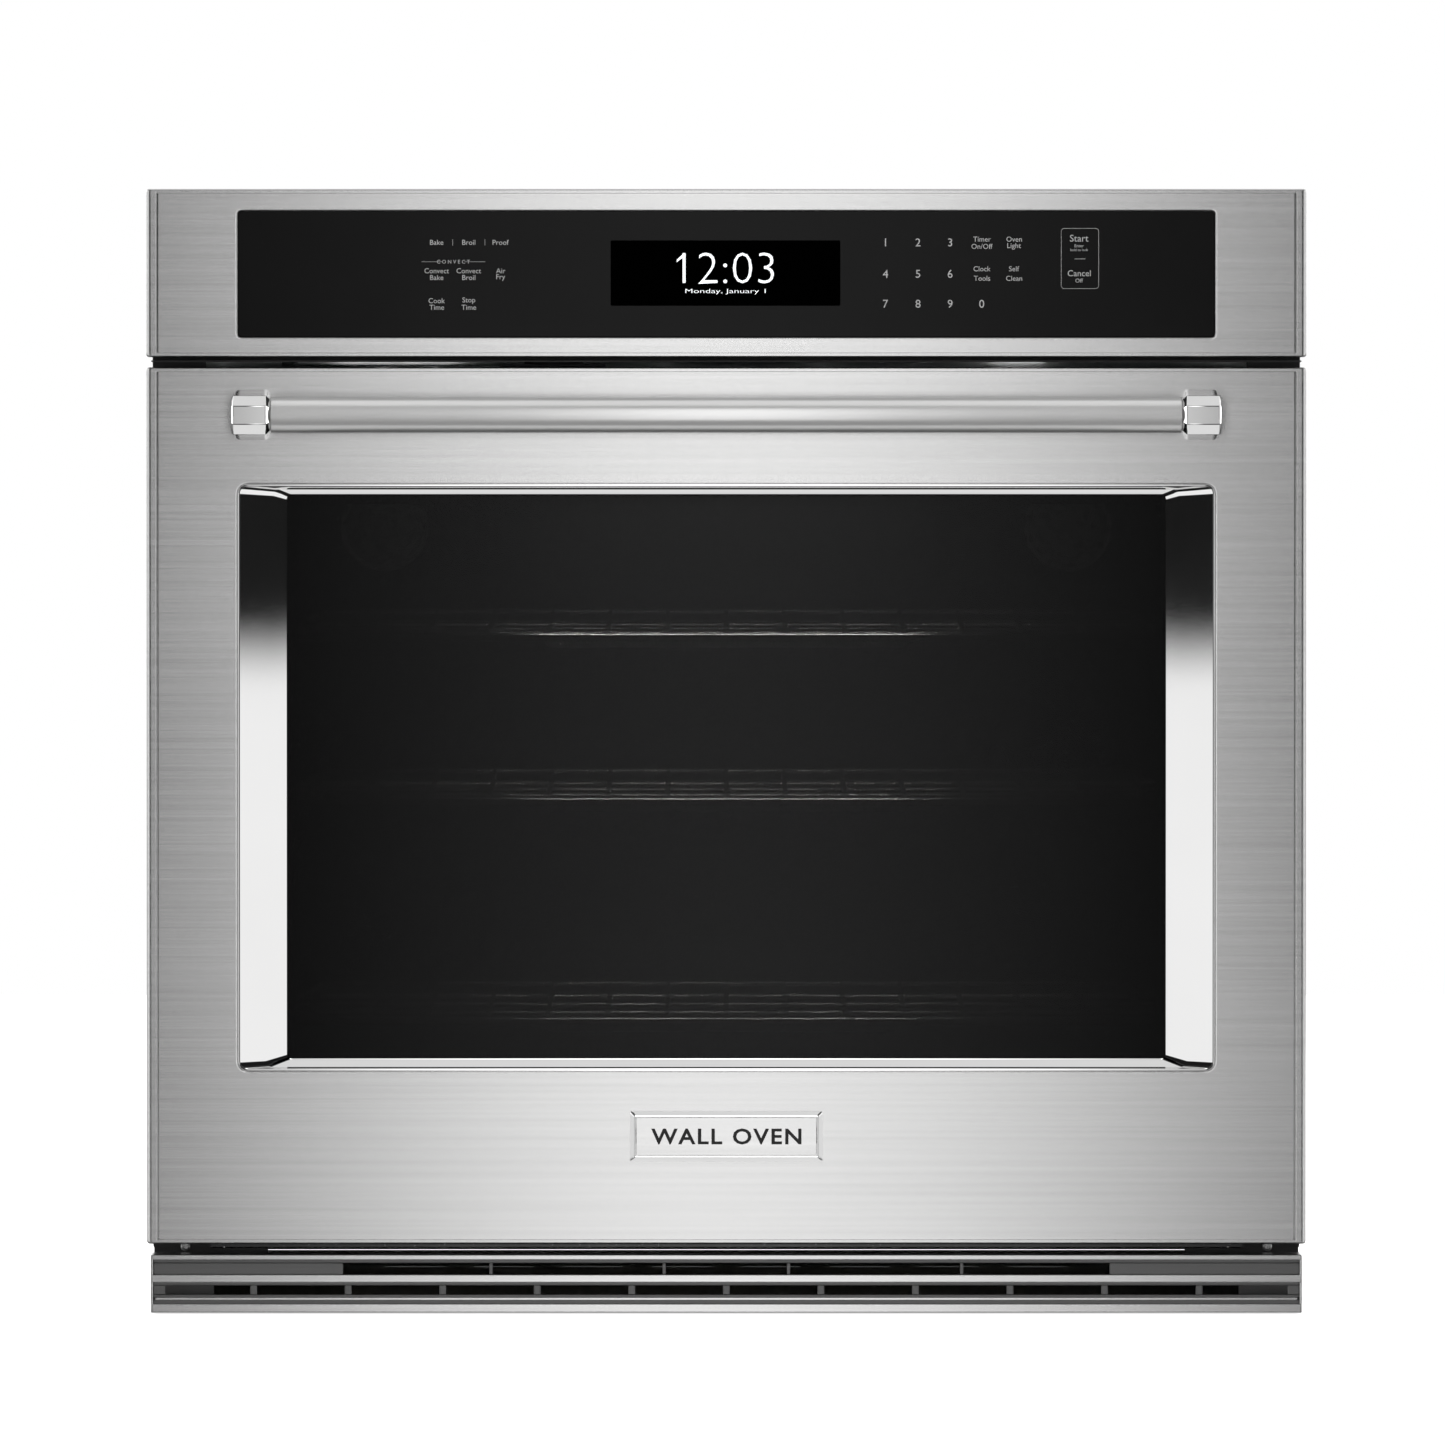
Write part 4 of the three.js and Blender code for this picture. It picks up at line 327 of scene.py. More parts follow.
def make(name, shapes, finish, body, stands_for=(), angle=32):
    """A piece from shapes: doubled points are merged and every shell faces outwards."""
    points, faces = together(shapes)
    mesh = bpy.data.meshes.new(name)
    mesh.from_pydata(points.tolist(), [], faces)
    work = bmesh.new()
    work.from_mesh(mesh)
    bmesh.ops.remove_doubles(work, verts=work.verts, dist=1e-7)
    bmesh.ops.recalc_face_normals(work, faces=work.faces)
    work.to_mesh(mesh)
    work.free()
    shaded(mesh, angle)
    return put(name, mesh, finish, body, stands_for)


def rounded_copy(node, finish, body, edge=0.0003, shift=None, name=None):
    """A frame node's mesh, merged, with flat areas joined and its edges rounded by a Bevel."""
    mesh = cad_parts[node].data.copy()
    mesh.name = name or node + "_finished"
    work = bmesh.new()
    work.from_mesh(mesh)
    bmesh.ops.remove_doubles(work, verts=work.verts, dist=2e-6)
    flat = math.radians(0.6)
    bmesh.ops.dissolve_limit(work, angle_limit=flat, verts=work.verts, edges=work.edges)
    work.to_mesh(mesh)
    work.free()
    if shift:
        mesh.vertices.foreach_set("co", shift(values_of(mesh)).ravel())
    shaded(mesh)
    piece = put(mesh.name, mesh, finish, body, (node,))
    if edge:
        bevel = bevelled(piece, edge, 2, 40)
        bevel.harden_normals = True
        bevel.use_clamp_overlap = True
    return piece


def cut(piece, boxes):
    """Takes boxes out of a piece's mesh."""
    points, faces = together(boxes)
    mesh = bpy.data.meshes.new("cutter")
    mesh.from_pydata(points.tolist(), [], faces)
    work = bmesh.new()
    work.from_mesh(mesh)
    bmesh.ops.recalc_face_normals(work, faces=work.faces)
    work.to_mesh(mesh)
    work.free()
    cutter = linked("cutter", mesh)
    modifier = piece.modifiers.new("slots", "BOOLEAN")
    modifier.operation = "DIFFERENCE"
    modifier.solver = "EXACT"
    modifier.object = cutter
    result = evaluated(piece)
    piece.modifiers.remove(modifier)
    bpy.data.objects.remove(cutter)
    piece.data = result
    shaded(result)
    return piece


def lettering(words, place, size, spacing=1.0, fit=None, weight=0.0):
    """Thin raised letters from Blender's own font, centred on a place and facing front. Weight grows
    or thins the strokes, as a share of the size."""
    curve = bpy.data.curves.new("words", "FONT")
    curve.body = words
    curve.size = size
    curve.align_x = "CENTER"
    curve.align_y = "CENTER"
    curve.space_character = spacing
    curve.resolution_u = 3
    curve.extrude = 1e-5
    curve.offset = weight * size
    text = linked("words", curve)
    mesh = evaluated(text)
    bpy.data.objects.remove(text)
    points = values_of(mesh)
    points = points - (points.min(0) + points.max(0)) / 2
    if fit:
        points[:, :2] *= np.array(fit) / (2 * points[:, :2].max(0))
    faces = [list(polygon.vertices) for polygon in mesh.polygons]
    placed = np.stack([points[:, 0], -points[:, 2], points[:, 1]], -1) + np.array(place)
    return placed, faces


# ---- Finishes ----------------------------------------------------------------------------------
# A finish is made once for the same words and numbers, and shared.


class Value:
    """A shader socket. Arithmetic on it adds Math nodes."""

    def __init__(self, finish, socket):
        self.finish = finish
        self.socket = socket

    def math(self, operation, *others, first=False):
        terms = (*others, self) if first else (self, *others)
        return self.finish.node("ShaderNodeMath", {"operation": operation}, dict(enumerate(terms)))

    def __add__(self, other):
        return self.math("ADD", other)

    def __radd__(self, other):
        return self.math("ADD", other, first=True)

    def __sub__(self, other):
        return self.math("SUBTRACT", other)

    def __rsub__(self, other):
        return self.math("SUBTRACT", other, first=True)

    def __mul__(self, other):
        return self.math("MULTIPLY", other)

    def __rmul__(self, other):
        return self.math("MULTIPLY", other, first=True)

    def __gt__(self, other):
        return self.math("GREATER_THAN", other)

    def __pow__(self, other):
        return self.math("POWER", other)


class Shading:
    """A shader tree. Its one method adds any node."""

    def __init__(self, tree):
        self.tree = tree

    def node(self, kind, settings=None, inputs=None, output=0):
        made = self.tree.nodes.new(kind)
        for key, value in (settings or {}).items():
            setattr(made, key, value)
        for key, value in (inputs or {}).items():
            if isinstance(value, Value):
                self.tree.links.new(value.socket, made.inputs[key])
            else:
                made.inputs[key].default_value = value
        return None if output is None else Value(self, made.outputs[output])

    def ramp(self, value, low, high, to_low=0.0, to_high=1.0):
        inputs = {"Value": value, "From Min": low, "From Max": high, "To Min": to_low, "To Max": to_high}
        return self.node("ShaderNodeMapRange", {"interpolation_type": "SMOOTHSTEP"}, inputs)


class Finish(Shading):
    """One material: constants go on the shader's sockets, and links are added to them."""

    def __init__(self, name, **constants):
        self.material = bpy.data.materials.new(name)
        self.material.use_nodes = True
        super().__init__(self.material.node_tree)
        self.shader = self.tree.nodes["Principled BSDF"]
        for key, value in constants.items():
            self.shader.inputs[key.replace("_", " ")].default_value = value

    def link(self, name, value):
        self.tree.links.new(value.socket, self.shader.inputs[name])
        return self

    def place(self, scale=(1, 1, 1), turn=(0, 0, 0)):
        here = self.node("ShaderNodeTexCoord", output="Object")
        return self.node("ShaderNodeMapping", None, {"Vector": here, "Scale": scale, "Rotation": turn})

    def noise(self, scale, detail=2.0, roughness=0.5, turn=(0, 0, 0)):
        inputs = {"Vector": self.place(scale, turn), "Scale": 1.0, "Detail": detail, "Roughness": roughness}
        return self.node("ShaderNodeTexNoise", None, inputs)

    def cells(self, scale, output="Color", **settings):
        inputs = {"Vector": self.place((scale,) * 3), "Scale": 1.0}
        return self.node("ShaderNodeTexVoronoi", settings, inputs, output)

    def mix(self, factor, first, second):
        inputs = {0: factor, 6: first, 7: second}
        return self.node("ShaderNodeMix", {"data_type": "RGBA"}, inputs, 2)

    def bump(self, height, strength, distance):
        inputs = {"Height": height, "Strength": strength, "Distance": distance}
        return self.link("Normal", self.node("ShaderNodeBump", None, inputs))


def tone(level, warmth=0.0):
    """A nearly grey colour of that level; warmth lifts red and lowers blue."""
    return (level * (1 + warmth), level, level * (1 - warmth), 1.0)


@cache
def brushed_steel(settings, name="brushed_steel", grain=(3, 700, 1100), roughness=None, share=1.0):
    """Steel with fine brush lines along X, broken by soft cloudy smudges."""
    rough = settings.steel_roughness if roughness is None else roughness
    level = settings.steel_level * share
    f = Finish(name, Metallic=1.0)
    lines = f.noise(grain, 3.0, 0.6)
    long_lines = f.noise((0.8, 160, 260), 2.0, 0.5)
    clouds = f.noise((2.5, 2.5, 4.0), 3.0, 0.55)
    shade = 0.45 * lines + 0.35 * long_lines + 0.2 * clouds
    f.link("Base Color", f.mix(f.ramp(shade, 0.3, 0.7), tone(level * 0.92, 0.004), tone(level * 1.05, 0.002)))
    f.link("Roughness", rough + 0.10 * (lines - 0.5) + 0.05 * (clouds - 0.5))
    f.bump(lines, 0.22, 0.00012)
    return f.material


@cache
def polished_steel(name="polished_steel", roughness=0.07):
    """Bright steel with the faint haze and hairlines of a buffed surface."""
    f = Finish(name, Metallic=1.0)
    haze = f.noise((9, 9, 9), 3.0)
    hair = f.noise((60, 900, 900), 2.0)
    f.link("Base Color", f.mix(haze, tone(0.86, 0.002), tone(0.92, 0.002)))
    f.link("Roughness", roughness + 0.03 * haze + 0.02 * (hair - 0.5))
    return f.material


@cache
def satin_bar_steel():
    """The handle bar's fine blasted satin: soft all over, a little shinier in patches."""
    f = Finish("satin_bar_steel", Metallic=0.45)
    grain = f.noise((900, 900, 900), 2.0)
    patches = f.noise((12, 12, 12), 2.0)
    f.link("Base Color", f.mix(patches, tone(0.76, 0.004), tone(0.82, 0.004)))
    f.link("Roughness", 0.26 + 0.04 * (patches - 0.5))
    f.bump(grain, 0.1, 0.00005)
    return f.material


@cache
def galvanised_sheet():
    """Zinc-coated sheet: crystal spangles of differing tone and gloss, with handling marks."""
    f = Finish("galvanised_sheet", Metallic=0.85)
    spangle = f.node("ShaderNodeSeparateColor", None, {0: f.cells(110.0)})
    marks = f.noise((5, 5, 5), 4.0, 0.6)
    fine = f.noise((500, 500, 500), 2.0)
    f.link("Base Color", f.mix(0.6 * spangle + 0.4 * marks, tone(0.56, -0.012), tone(0.68, -0.008)))
    f.link("Roughness", 0.38 + 0.07 * spangle + 0.08 * (marks - 0.5))
    f.bump(fine, 0.08, 0.0001)
    return f.material


@cache
def black_sheet():
    """Satin black paint with a fine orange-peel texture."""
    f = Finish("black_sheet", Specular_IOR_Level=0.4)
    peel = f.noise((420, 420, 420), 2.0)
    dust = f.noise((14, 14, 14), 3.0)
    f.link("Base Color", f.mix(dust, tone(0.010), tone(0.018)))
    f.link("Roughness", 0.42 + 0.14 * (dust - 0.5))
    f.bump(peel, 0.12, 0.0001)
    return f.material


@cache
def cavity_enamel(name="cavity_enamel", level=0.022):
    """Fired dark grey-blue porcelain with fine pale specks and a glassy, slightly wavy surface."""
    f = Finish(name, Specular_IOR_Level=0.55)
    specks = f.noise((620, 620, 620), 1.0)
    wave = f.noise((28, 28, 28), 2.0)
    dark = (level * 0.85, level * 0.95, level * 1.2, 1.0)
    f.link("Base Color", f.mix(f.ramp(specks, 0.66, 0.72), dark, (0.32, 0.34, 0.38, 1.0)))
    f.link("Roughness", 0.16 + 0.10 * wave)
    f.bump(wave, 0.06, 0.0006)
    return f.material


@cache
def control_glass():
    """Back-printed black glass with a faint bloom of fingerprints."""
    f = Finish("control_glass", Specular_IOR_Level=0.05, IOR=1.5)
    bloom = f.noise((16, 16, 16), 4.0, 0.6)
    f.link("Base Color", f.mix(bloom, tone(0.0070), tone(0.0095)))
    f.link("Roughness", 0.05 + 0.07 * f.ramp(bloom, 0.45, 0.75))
    return f.material


@cache
def window_glass(name, alpha, level):
    """A tinted pane: what isn't covered by its tint shows the pane or cavity behind."""
    f = Finish(name, Specular_IOR_Level=0.13, Roughness=0.03)
    bloom = f.noise((7, 7, 7), 3.0)
    f.link("Base Color", f.mix(bloom, tone(level * 0.8), tone(level * 1.3)))
    f.link("Alpha", f.ramp(bloom, 0.2, 0.8, alpha - 0.01, alpha + 0.01))
    return f.material


@cache
def lamp_glass():
    f = Finish("lamp_glass", Roughness=0.12)
    frost = f.noise((220, 220, 220), 2.0)
    f.link("Base Color", f.mix(frost, tone(0.50, 0.02), tone(0.70, 0.02)))
    f.link("Alpha", f.ramp(frost, 0.2, 0.8, 0.34, 0.46))
    f.bump(frost, 0.2, 0.0002)
    return f.material


@cache
def printed_label():
    """Pale grey ceramic print, a little uneven in density."""
    f = Finish("printed_label", Roughness=0.5)
    print_density = f.noise((900, 900, 900), 1.0)
    f.link("Base Color", f.mix(print_density, tone(0.42), tone(0.56)))
    return f.material


@cache
def lit_digits():
    f = Finish("lit_digits", Roughness=0.4, Base_Color=tone(0.6), Emission_Strength=0.9)
    glow = f.noise((500, 500, 500), 1.0)
    f.link("Emission Color", f.mix(glow, (0.80, 0.86, 0.90, 1.0), (0.92, 0.96, 1.0, 1.0)))
    return f.material


@cache
def display_black():
    f = Finish("display_black", Specular_IOR_Level=0.0)
    grain = f.noise((300, 300, 300), 1.0)
    f.link("Base Color", f.mix(grain, tone(0.0001), tone(0.0004)))
    f.link("Roughness", 0.2 + 0.1 * grain)
    return f.material


@cache
def mineral_wool():
    """Matted glass fibre: pale yellow, with darker clumps and a coarse felted surface."""
    f = Finish("mineral_wool", Roughness=0.95, Specular_IOR_Level=0.15)
    clumps = f.noise((30, 30, 30), 4.0, 0.7)
    fibres = f.noise((700, 90, 300), 3.0, 0.7)
    f.link("Base Color", f.mix(0.6 * clumps + 0.4 * fibres, (0.36, 0.30, 0.17, 1.0), (0.74, 0.68, 0.50, 1.0)))
    f.bump(0.5 * clumps + 0.5 * fibres, 0.9, 0.002)
    return f.material


@cache
def gasket_braid():
    """Woven glass yarn: two families of diagonal strands, crossing."""
    f = Finish("gasket_braid", Roughness=0.9, Specular_IOR_Level=0.2)
    strands = []
    for turn in (0.8, -0.8):
        vector = f.place((1, 1, 1), (turn, turn, turn))
        inputs = {"Vector": vector, "Scale": 130.0, "Distortion": 0.4, "Detail": 1.0}
        strands.append(f.node("ShaderNodeTexWave", {"wave_type": "BANDS"}, inputs, 1))
    weave = strands[0] * strands[1]
    f.link("Base Color", f.mix(weave, tone(0.035), tone(0.13, 0.02)))
    f.bump(weave, 0.8, 0.0008)
    return f.material


@cache
def element_sheath():
    """Heat-coloured sheath: dark scale with brown and grey patches."""
    f = Finish("element_sheath", Metallic=0.5)
    scale = f.noise((60, 60, 60), 4.0, 0.6)
    f.link("Base Color", f.mix(scale, (0.045, 0.038, 0.034, 1.0), (0.16, 0.14, 0.125, 1.0)))
    f.link("Roughness", 0.42 + 0.3 * scale)
    f.bump(scale, 0.25, 0.0002)
    return f.material


@cache
def cast_aluminium():
    f = Finish("cast_aluminium", Metallic=0.9)
    grit = f.noise((420, 420, 420), 3.0)
    patches = f.noise((22, 22, 22), 2.0)
    f.link("Base Color", f.mix(patches, tone(0.36), tone(0.50)))
    f.link("Roughness", 0.38 + 0.14 * patches)
    f.bump(grit, 0.35, 0.00015)
    return f.material


@cache
def rack_wire():
    """Nickel-plated wire with a little heat tint."""
    f = Finish("rack_wire", Metallic=1.0)
    tint = f.noise((9, 9, 9), 2.0)
    draw = f.noise((300, 300, 300), 2.0)
    f.link("Base Color", f.mix(tint, (0.66, 0.65, 0.62, 1.0), (0.78, 0.77, 0.75, 1.0)))
    f.link("Roughness", 0.18 + 0.10 * draw)
    return f.material


@cache
def machined_steel(name="machined_steel", level=0.55, warmth=0.0):
    """Zinc-plated steel with a fine tumbled grain and oily patches."""
    f = Finish(name, Metallic=1.0)
    grain = f.noise((380, 380, 380), 3.0)
    oil = f.noise((30, 30, 30), 2.0)
    f.link("Base Color", f.mix(oil, tone(level * 0.85, warmth), tone(level * 1.1, warmth)))
    f.link("Roughness", 0.26 + 0.14 * grain + 0.06 * oil)
    f.bump(grain, 0.15, 0.00008)
    return f.material


@cache
def circuit_board():
    """Green solder mask over a net of slightly lighter copper tracks."""
    f = Finish("circuit_board", Specular_IOR_Level=0.5)
    tracks = f.cells(180.0, "Distance", feature="DISTANCE_TO_EDGE", distance="MANHATTAN")
    mask = f.ramp(tracks, 0.03, 0.06)
    f.link("Base Color", f.mix(mask, (0.05, 0.26, 0.09, 1.0), (0.012, 0.11, 0.035, 1.0)))
    f.link("Roughness", 0.28 + 0.12 * mask)
    f.bump(mask, -0.3, 0.0001)
    return f.material


@cache
def moulded_plastic(name, colour):
    """Moulded plastic with a fine spark-eroded texture."""
    f = Finish(name)
    spark = f.noise((700, 700, 700), 1.0)
    flow = f.noise((25, 25, 25), 2.0)
    bright = tuple(c * 1.25 for c in colour[:3]) + (1.0,)
    f.link("Base Color", f.mix(flow, tuple(colour[:3]) + (1.0,), bright))
    f.link("Roughness", 0.42 + 0.15 * flow)
    f.bump(spark, 0.2, 0.0001)
    return f.material


def steel():
    return brushed_steel(bpy.context.scene.wall_oven)


# ---- Settings ----------------------------------------------------------------------------------


class WallOvenSettings(bpy.types.PropertyGroup):
    """What a user of the oven would change."""

    steel_level: bpy.props.FloatProperty(
        name="Steel tone", description="Grey level of the brushed steel", default=0.56, min=0.2, max=0.95
    )
    steel_roughness: bpy.props.FloatProperty(
        name="Steel roughness", description="Roughness of the brushed steel", default=0.23, min=0.05, max=0.8
    )
    pane_cover: bpy.props.FloatProperty(
        name="Pane tint", description="Share of the outer pane that its tint covers",
        default=0.56, min=0.0, max=1.0, subtype="FACTOR",
    )
    time_shown: bpy.props.StringProperty(
        name="Time shown", description="What the display reads", default="12:03"
    )
    badge_words: bpy.props.StringProperty(
        name="Badge", description="Raised words on the badge plate", default="WALL OVEN"
    )
    wire_radius: bpy.props.FloatProperty(
        name="Rack wire radius", description="Radius of the thin rack wires", default=0.0019, unit="LENGTH"
    )
    rail_radius: bpy.props.FloatProperty(
        name="Rack rail radius", description="Radius of the rack's outer rail", default=0.0031, unit="LENGTH"
    )
    camera_distance: bpy.props.FloatProperty(
        name="Camera distance", description="From the front of the oven", default=12.5, unit="LENGTH"
    )
    view_width: bpy.props.FloatProperty(
        name="View width", description="Width seen at the front of the oven", default=0.942, unit="LENGTH"
    )
    card_brightness: bpy.props.FloatProperty(
        name="Front card", description="Brightness of the card in front of the oven", default=2.25
    )


# ---- Stage -------------------------------------------------------------------------------------


def flat_sheet(name, low, high, finish):
    """One rectangle between two corners that have the same y, or the same z."""
    (x0, y0, z0), (x1, y1, z1) = low, high
    mesh = bpy.data.meshes.new(name)
    mesh.from_pydata([(x0, y0, z0), (x1, y0, z0), (x1, y1, z1), (x0, y1, z1)], [], [(0, 1, 2, 3)])
    mesh.materials.append(finish.material)
    return linked(name, mesh)


def card(name, low, high, colour_at, brightness):
    """An unlit glowing sheet, level or upright, that only reflections see."""
    f = Finish(name, Base_Color=tone(0.0), Roughness=1.0, Specular_IOR_Level=0.0,
               Emission_Strength=brightness)
    f.link("Emission Color", colour_at(f))
    sheet = flat_sheet(name, low, high, f)
    sheet.visible_camera = False
    sheet.visible_diffuse = False
    sheet.visible_shadow = False


def soft_light(name, place, target, size, power, reflected=True):
    """A rectangular lamp aimed at a target. Unless it is reflected, only matt surfaces show it."""
    data = bpy.data.lights.new(name, "AREA")
    data.shape = "RECTANGLE"
    data.size, data.size_y = size
    data.energy = power
    lamp = linked(name, data)
    lamp.location = place
    aim = Vector(target) - Vector(place)
    lamp.rotation_euler = aim.to_track_quat("-Z", "Y").to_euler()
    lamp.visible_camera = False
    lamp.visible_glossy = reflected


DOME_FRONT = 0.05  # strength of the dome in front of the oven
DOME_REAR = 1.15
DOME_BELOW = 0.30  # share that is left below the horizon
# Part of a ray's direction at which each change starts and ends.
DOME_ASIDE = (0.60, 0.80)
DOME_BEHIND = (-0.5, 0.2)
DOME_HORIZON = (-0.25, 0.05)
CARD_FADE = 0.56  # distance from the middle at which the front card has reached its edge brightness
CARD_EDGE = 0.0
CARD_PLANE = -3.2
SIDE_CARD_RAMP = (0.322, 0.392)  # heights between which the side cards turn dark
FLOOR_DEPTH = 0.001
FLOOR_REACH = 5.0
CAMERA_PITCH = math.radians(1.44)


class OVEN_OT_stage(bpy.types.Operator):
    """Pale floor, soft studio lights, reflector cards and the camera"""

    bl_idname = "oven.stage"
    bl_label = "Stage"

    def execute(self, context):
        settings = context.scene.wall_oven
        self.floor()
        self.world()
        self.cards(settings)
        soft_light("top_light", (0, -0.9, 3.0), (0, 0, 0.3), (3.4, 3.4), 4, reflected=False)
        soft_light("front_light", (0, -3.3, 1.3), (0, -0.3, 0.45), (3.0, 2.0), 68, reflected=False)
        soft_light("cavity_light", (0, -0.246, 0.535), (0, -0.20, 0.2), (0.26, 0.016), 0.28)
        soft_light("left_light", (-3.2, 0.3, 1.6), (0, 0, 0.4), (1.8, 2.4), 26)
        soft_light("right_light", (3.2, 0.3, 1.6), (0, 0, 0.4), (1.8, 2.4), 26)
        soft_light("rear_light", (0.6, 3.4, 1.8), (0, 0, 0.4), (2.4, 2.0), 34)
        self.camera(settings)
        context.scene.view_settings.view_transform = "Standard"
        return {"FINISHED"}

    def floor(self):
        reach, z = FLOOR_REACH, -FLOOR_DEPTH
        f = Finish("pale_floor", Roughness=0.9, Specular_IOR_Level=0.1, Emission_Color=tone(1.0),
                   Emission_Strength=0.75)
        f.link("Base Color", f.mix(f.noise((0.7, 0.7, 0.7)), tone(0.93), tone(0.95)))
        floor = flat_sheet("floor", (-reach, -reach, z), (reach, reach, z), f)
        floor.visible_glossy = False
        floor.visible_diffuse = False

    def world(self):
        """White where the camera looks past the oven. Everything else sees a dome, dim in front of the
        oven, brighter at its sides and back, and dark below the horizon."""
        world = bpy.data.worlds.new("studio")
        world.use_nodes = True
        world.node_tree.nodes.clear()
        sky = Shading(world.node_tree)
        way = sky.node("ShaderNodeTexCoord", output="Generated")
        x, y, z = (sky.node("ShaderNodeSeparateXYZ", None, {0: way}, part) for part in range(3))
        aside = sky.ramp(x.math("ABSOLUTE"), *DOME_ASIDE, DOME_FRONT, DOME_REAR)
        behind = sky.ramp(y, *DOME_BEHIND, DOME_FRONT, DOME_REAR)
        above = sky.ramp(z, *DOME_HORIZON, DOME_BELOW, 1.0)
        strength = aside.math("MAXIMUM", behind) * above
        dome = sky.node("ShaderNodeBackground", None, {"Strength": strength})
        seen = sky.node("ShaderNodeBackground", None, {"Color": (1, 1, 1, 1)})
        looking = sky.node("ShaderNodeLightPath", output="Is Camera Ray")
        both = sky.node("ShaderNodeMixShader", None, {"Fac": looking, 1: dome, 2: seen})
        sky.node("ShaderNodeOutputWorld", None, {"Surface": both}, None)
        bpy.context.scene.world = world

    def cards(self, settings):
        """A card in front that is brightest in the middle, two beside it that are bright low down and
        dark above, which the polished window frame reflects, two bright ones further out and nearer,
        which the rounded side edges reflect, one overhead and one under the oven's front."""

        def middle_bright(f):
            x = f.node("ShaderNodeSeparateXYZ", None, {0: f.place()})
            share = f.ramp(x.math("ABSOLUTE"), 0.0, CARD_FADE)
            return f.mix(share, tone(1.0), tone(CARD_EDGE))

        def low_bright(f):
            z = f.node("ShaderNodeSeparateXYZ", None, {0: f.place()}, 2)
            return f.mix(f.ramp(z, *SIDE_CARD_RAMP), tone(0.95), tone(0.010))

        def even(f):
            return f.mix(f.noise((1, 1, 1)), tone(0.98), tone(1.0))

        y = CARD_PLANE
        card("front_card", (-1.3, y, -1.3), (1.3, y, 3.1), middle_bright, settings.card_brightness)
        for side in (-1, 1):
            near, far = sorted((side * 1.36, side * 2.0))
            card("side_card", (near, y, -1.0), (far, y, 2.0), low_bright, 1.0)
            card("edge_card", (side * 2.6, -2.4, -1.0), (side * 3.3, -1.3, 2.6), even, 1.7)
        card("top_card", (-0.9, -1.30, 2.6), (0.9, -0.15, 2.6), even, 0.75)
        card("low_card", (-0.9, -0.75, -0.6), (0.9, -0.15, -0.6), even, 0.8)

    def camera(self, settings):
        data = bpy.data.cameras.new("camera")
        data.sensor_width = 36.0
        data.lens = data.sensor_width * settings.camera_distance / settings.view_width
        data.clip_end = 100.0
        camera = linked("camera", data)
        pitch = CAMERA_PITCH
        middle = Vector((-0.0025, FACE, 0.3853))
        away = Vector((0, -math.cos(pitch), math.sin(pitch)))
        camera.location = middle + away * settings.camera_distance
        camera.rotation_euler = (math.pi / 2 - pitch, 0, 0)
        bpy.context.scene.camera = camera


# ---- Chassis -----------------------------------------------------------------------------------


def set_in(points):
    """The rear sheets stand this far inside the frame's rear plane, which the screw heads reach."""
    moved = points.copy()
    moved[points[:, 1] > REAR_PLANE - 0.0015, 1] -= REAR_SCREW_HEIGHT
    return moved


REAR_PLANE = corners("rear_cover")[1][1]


class OVEN_OT_chassis(bpy.types.Operator):
    """Sheet metal of the chassis, and its screws"""

    bl_idname = "oven.chassis"
    bl_label = "Chassis"

    def execute(self, context):
        for node in ("base_pan", "top_cover", "upper_deck"):
            rounded_copy(node, galvanised_sheet(), "chassis")
        for node in ("side_panel_right", "side_panel_left", "rear_cover"):
            rounded_copy(node, galvanised_sheet(), "chassis", shift=set_in)
        for node in ("mounting_flange_right", "mounting_flange_left"):
            rounded_copy(node, black_sheet(), "chassis", edge=0.0002)
        make("chassis_screws", self.sheet_screws(), machined_steel(), "chassis")
        make("cabinet_screws", self.cabinet_screws(), machined_steel(), "chassis")
        flange_low, flange_high = corners("mounting_flange_right")
        rear = flange_low[1] + 0.0015
        # Black plates in the gaps beside the flange feet and over the trim's ends: dark sheets put there as
        # painted shade for those gaps.
        shade_plates = [box_of(*sorted((side * 0.336, side * (flange_high[0] - 0.0005))), rear, rear + 0.0008,
                          flange_low[2] - 0.004, flange_low[2] + 0.025) for side in (-1, 1)]
        shade_plates += [box_of(*sorted((side * 0.300, side * 0.337)), rear, rear + 0.0008, 0.0334, 0.0406)
                    for side in (-1, 1)]
        make("gap_shade_plates", shade_plates, black_sheet(), "chassis")
        return {"FINISHED"}

    def sheet_screws(self):
        low, high = corners("rear_cover")
        rear = REAR_PLANE - REAR_SCREW_HEIGHT
        heads = []
        for x in (low[0] + 0.006, high[0] - 0.006):
            for z in np.linspace(low[2] + 0.03, high[2] - 0.02, 5):
                heads.append(screw_head((x, rear, z), (1, 1)))
        for x in np.linspace(low[0] + 0.11, high[0] - 0.11, 3):
            heads.append(screw_head((x, rear, high[2] - 0.007), (1, 1)))
        cover_low, cover_high = corners("top_cover")
        for x in (cover_low[0] + 0.006, cover_high[0] - 0.006):
            for y in np.linspace(cover_low[1] + 0.04, cover_high[1] - 0.04, 4):
                heads.append(screw_head((x, y, cover_high[2]), (2, 1)))
        side = corners("side_panel_right")[1][0]
        for z in (0.022, 0.61):
            for y in (-0.21, -0.03, 0.15, 0.31):
                heads.append(screw_head((side, y, z), (0, 1)))
                heads.append(screw_head((-side, y, z), (0, -1)))
        return heads

    def cabinet_screws(self):
        """One in each hole of the mounting flanges, and one at each flange's foot."""
        low, high = corners("mounting_flange_right")
        chassis = corners("side_panel_right")[1][0]
        x = (chassis + high[0]) / 2
        margin = 0.05
        heads = []
        for z in np.linspace(low[2] + margin, high[2] - margin, 4):
            heads += [screw_head((side * x, low[1], z), (1, -1), 0.0042, 0.0022) for side in (-1, 1)]
        foot = low[2] + 0.0045
        heads += [screw_head((side * 0.354, low[1], foot), (1, -1), 0.0032, 0.002) for side in (-1, 1)]
        return heads


# ---- Lower vent trim ---------------------------------------------------------------------------

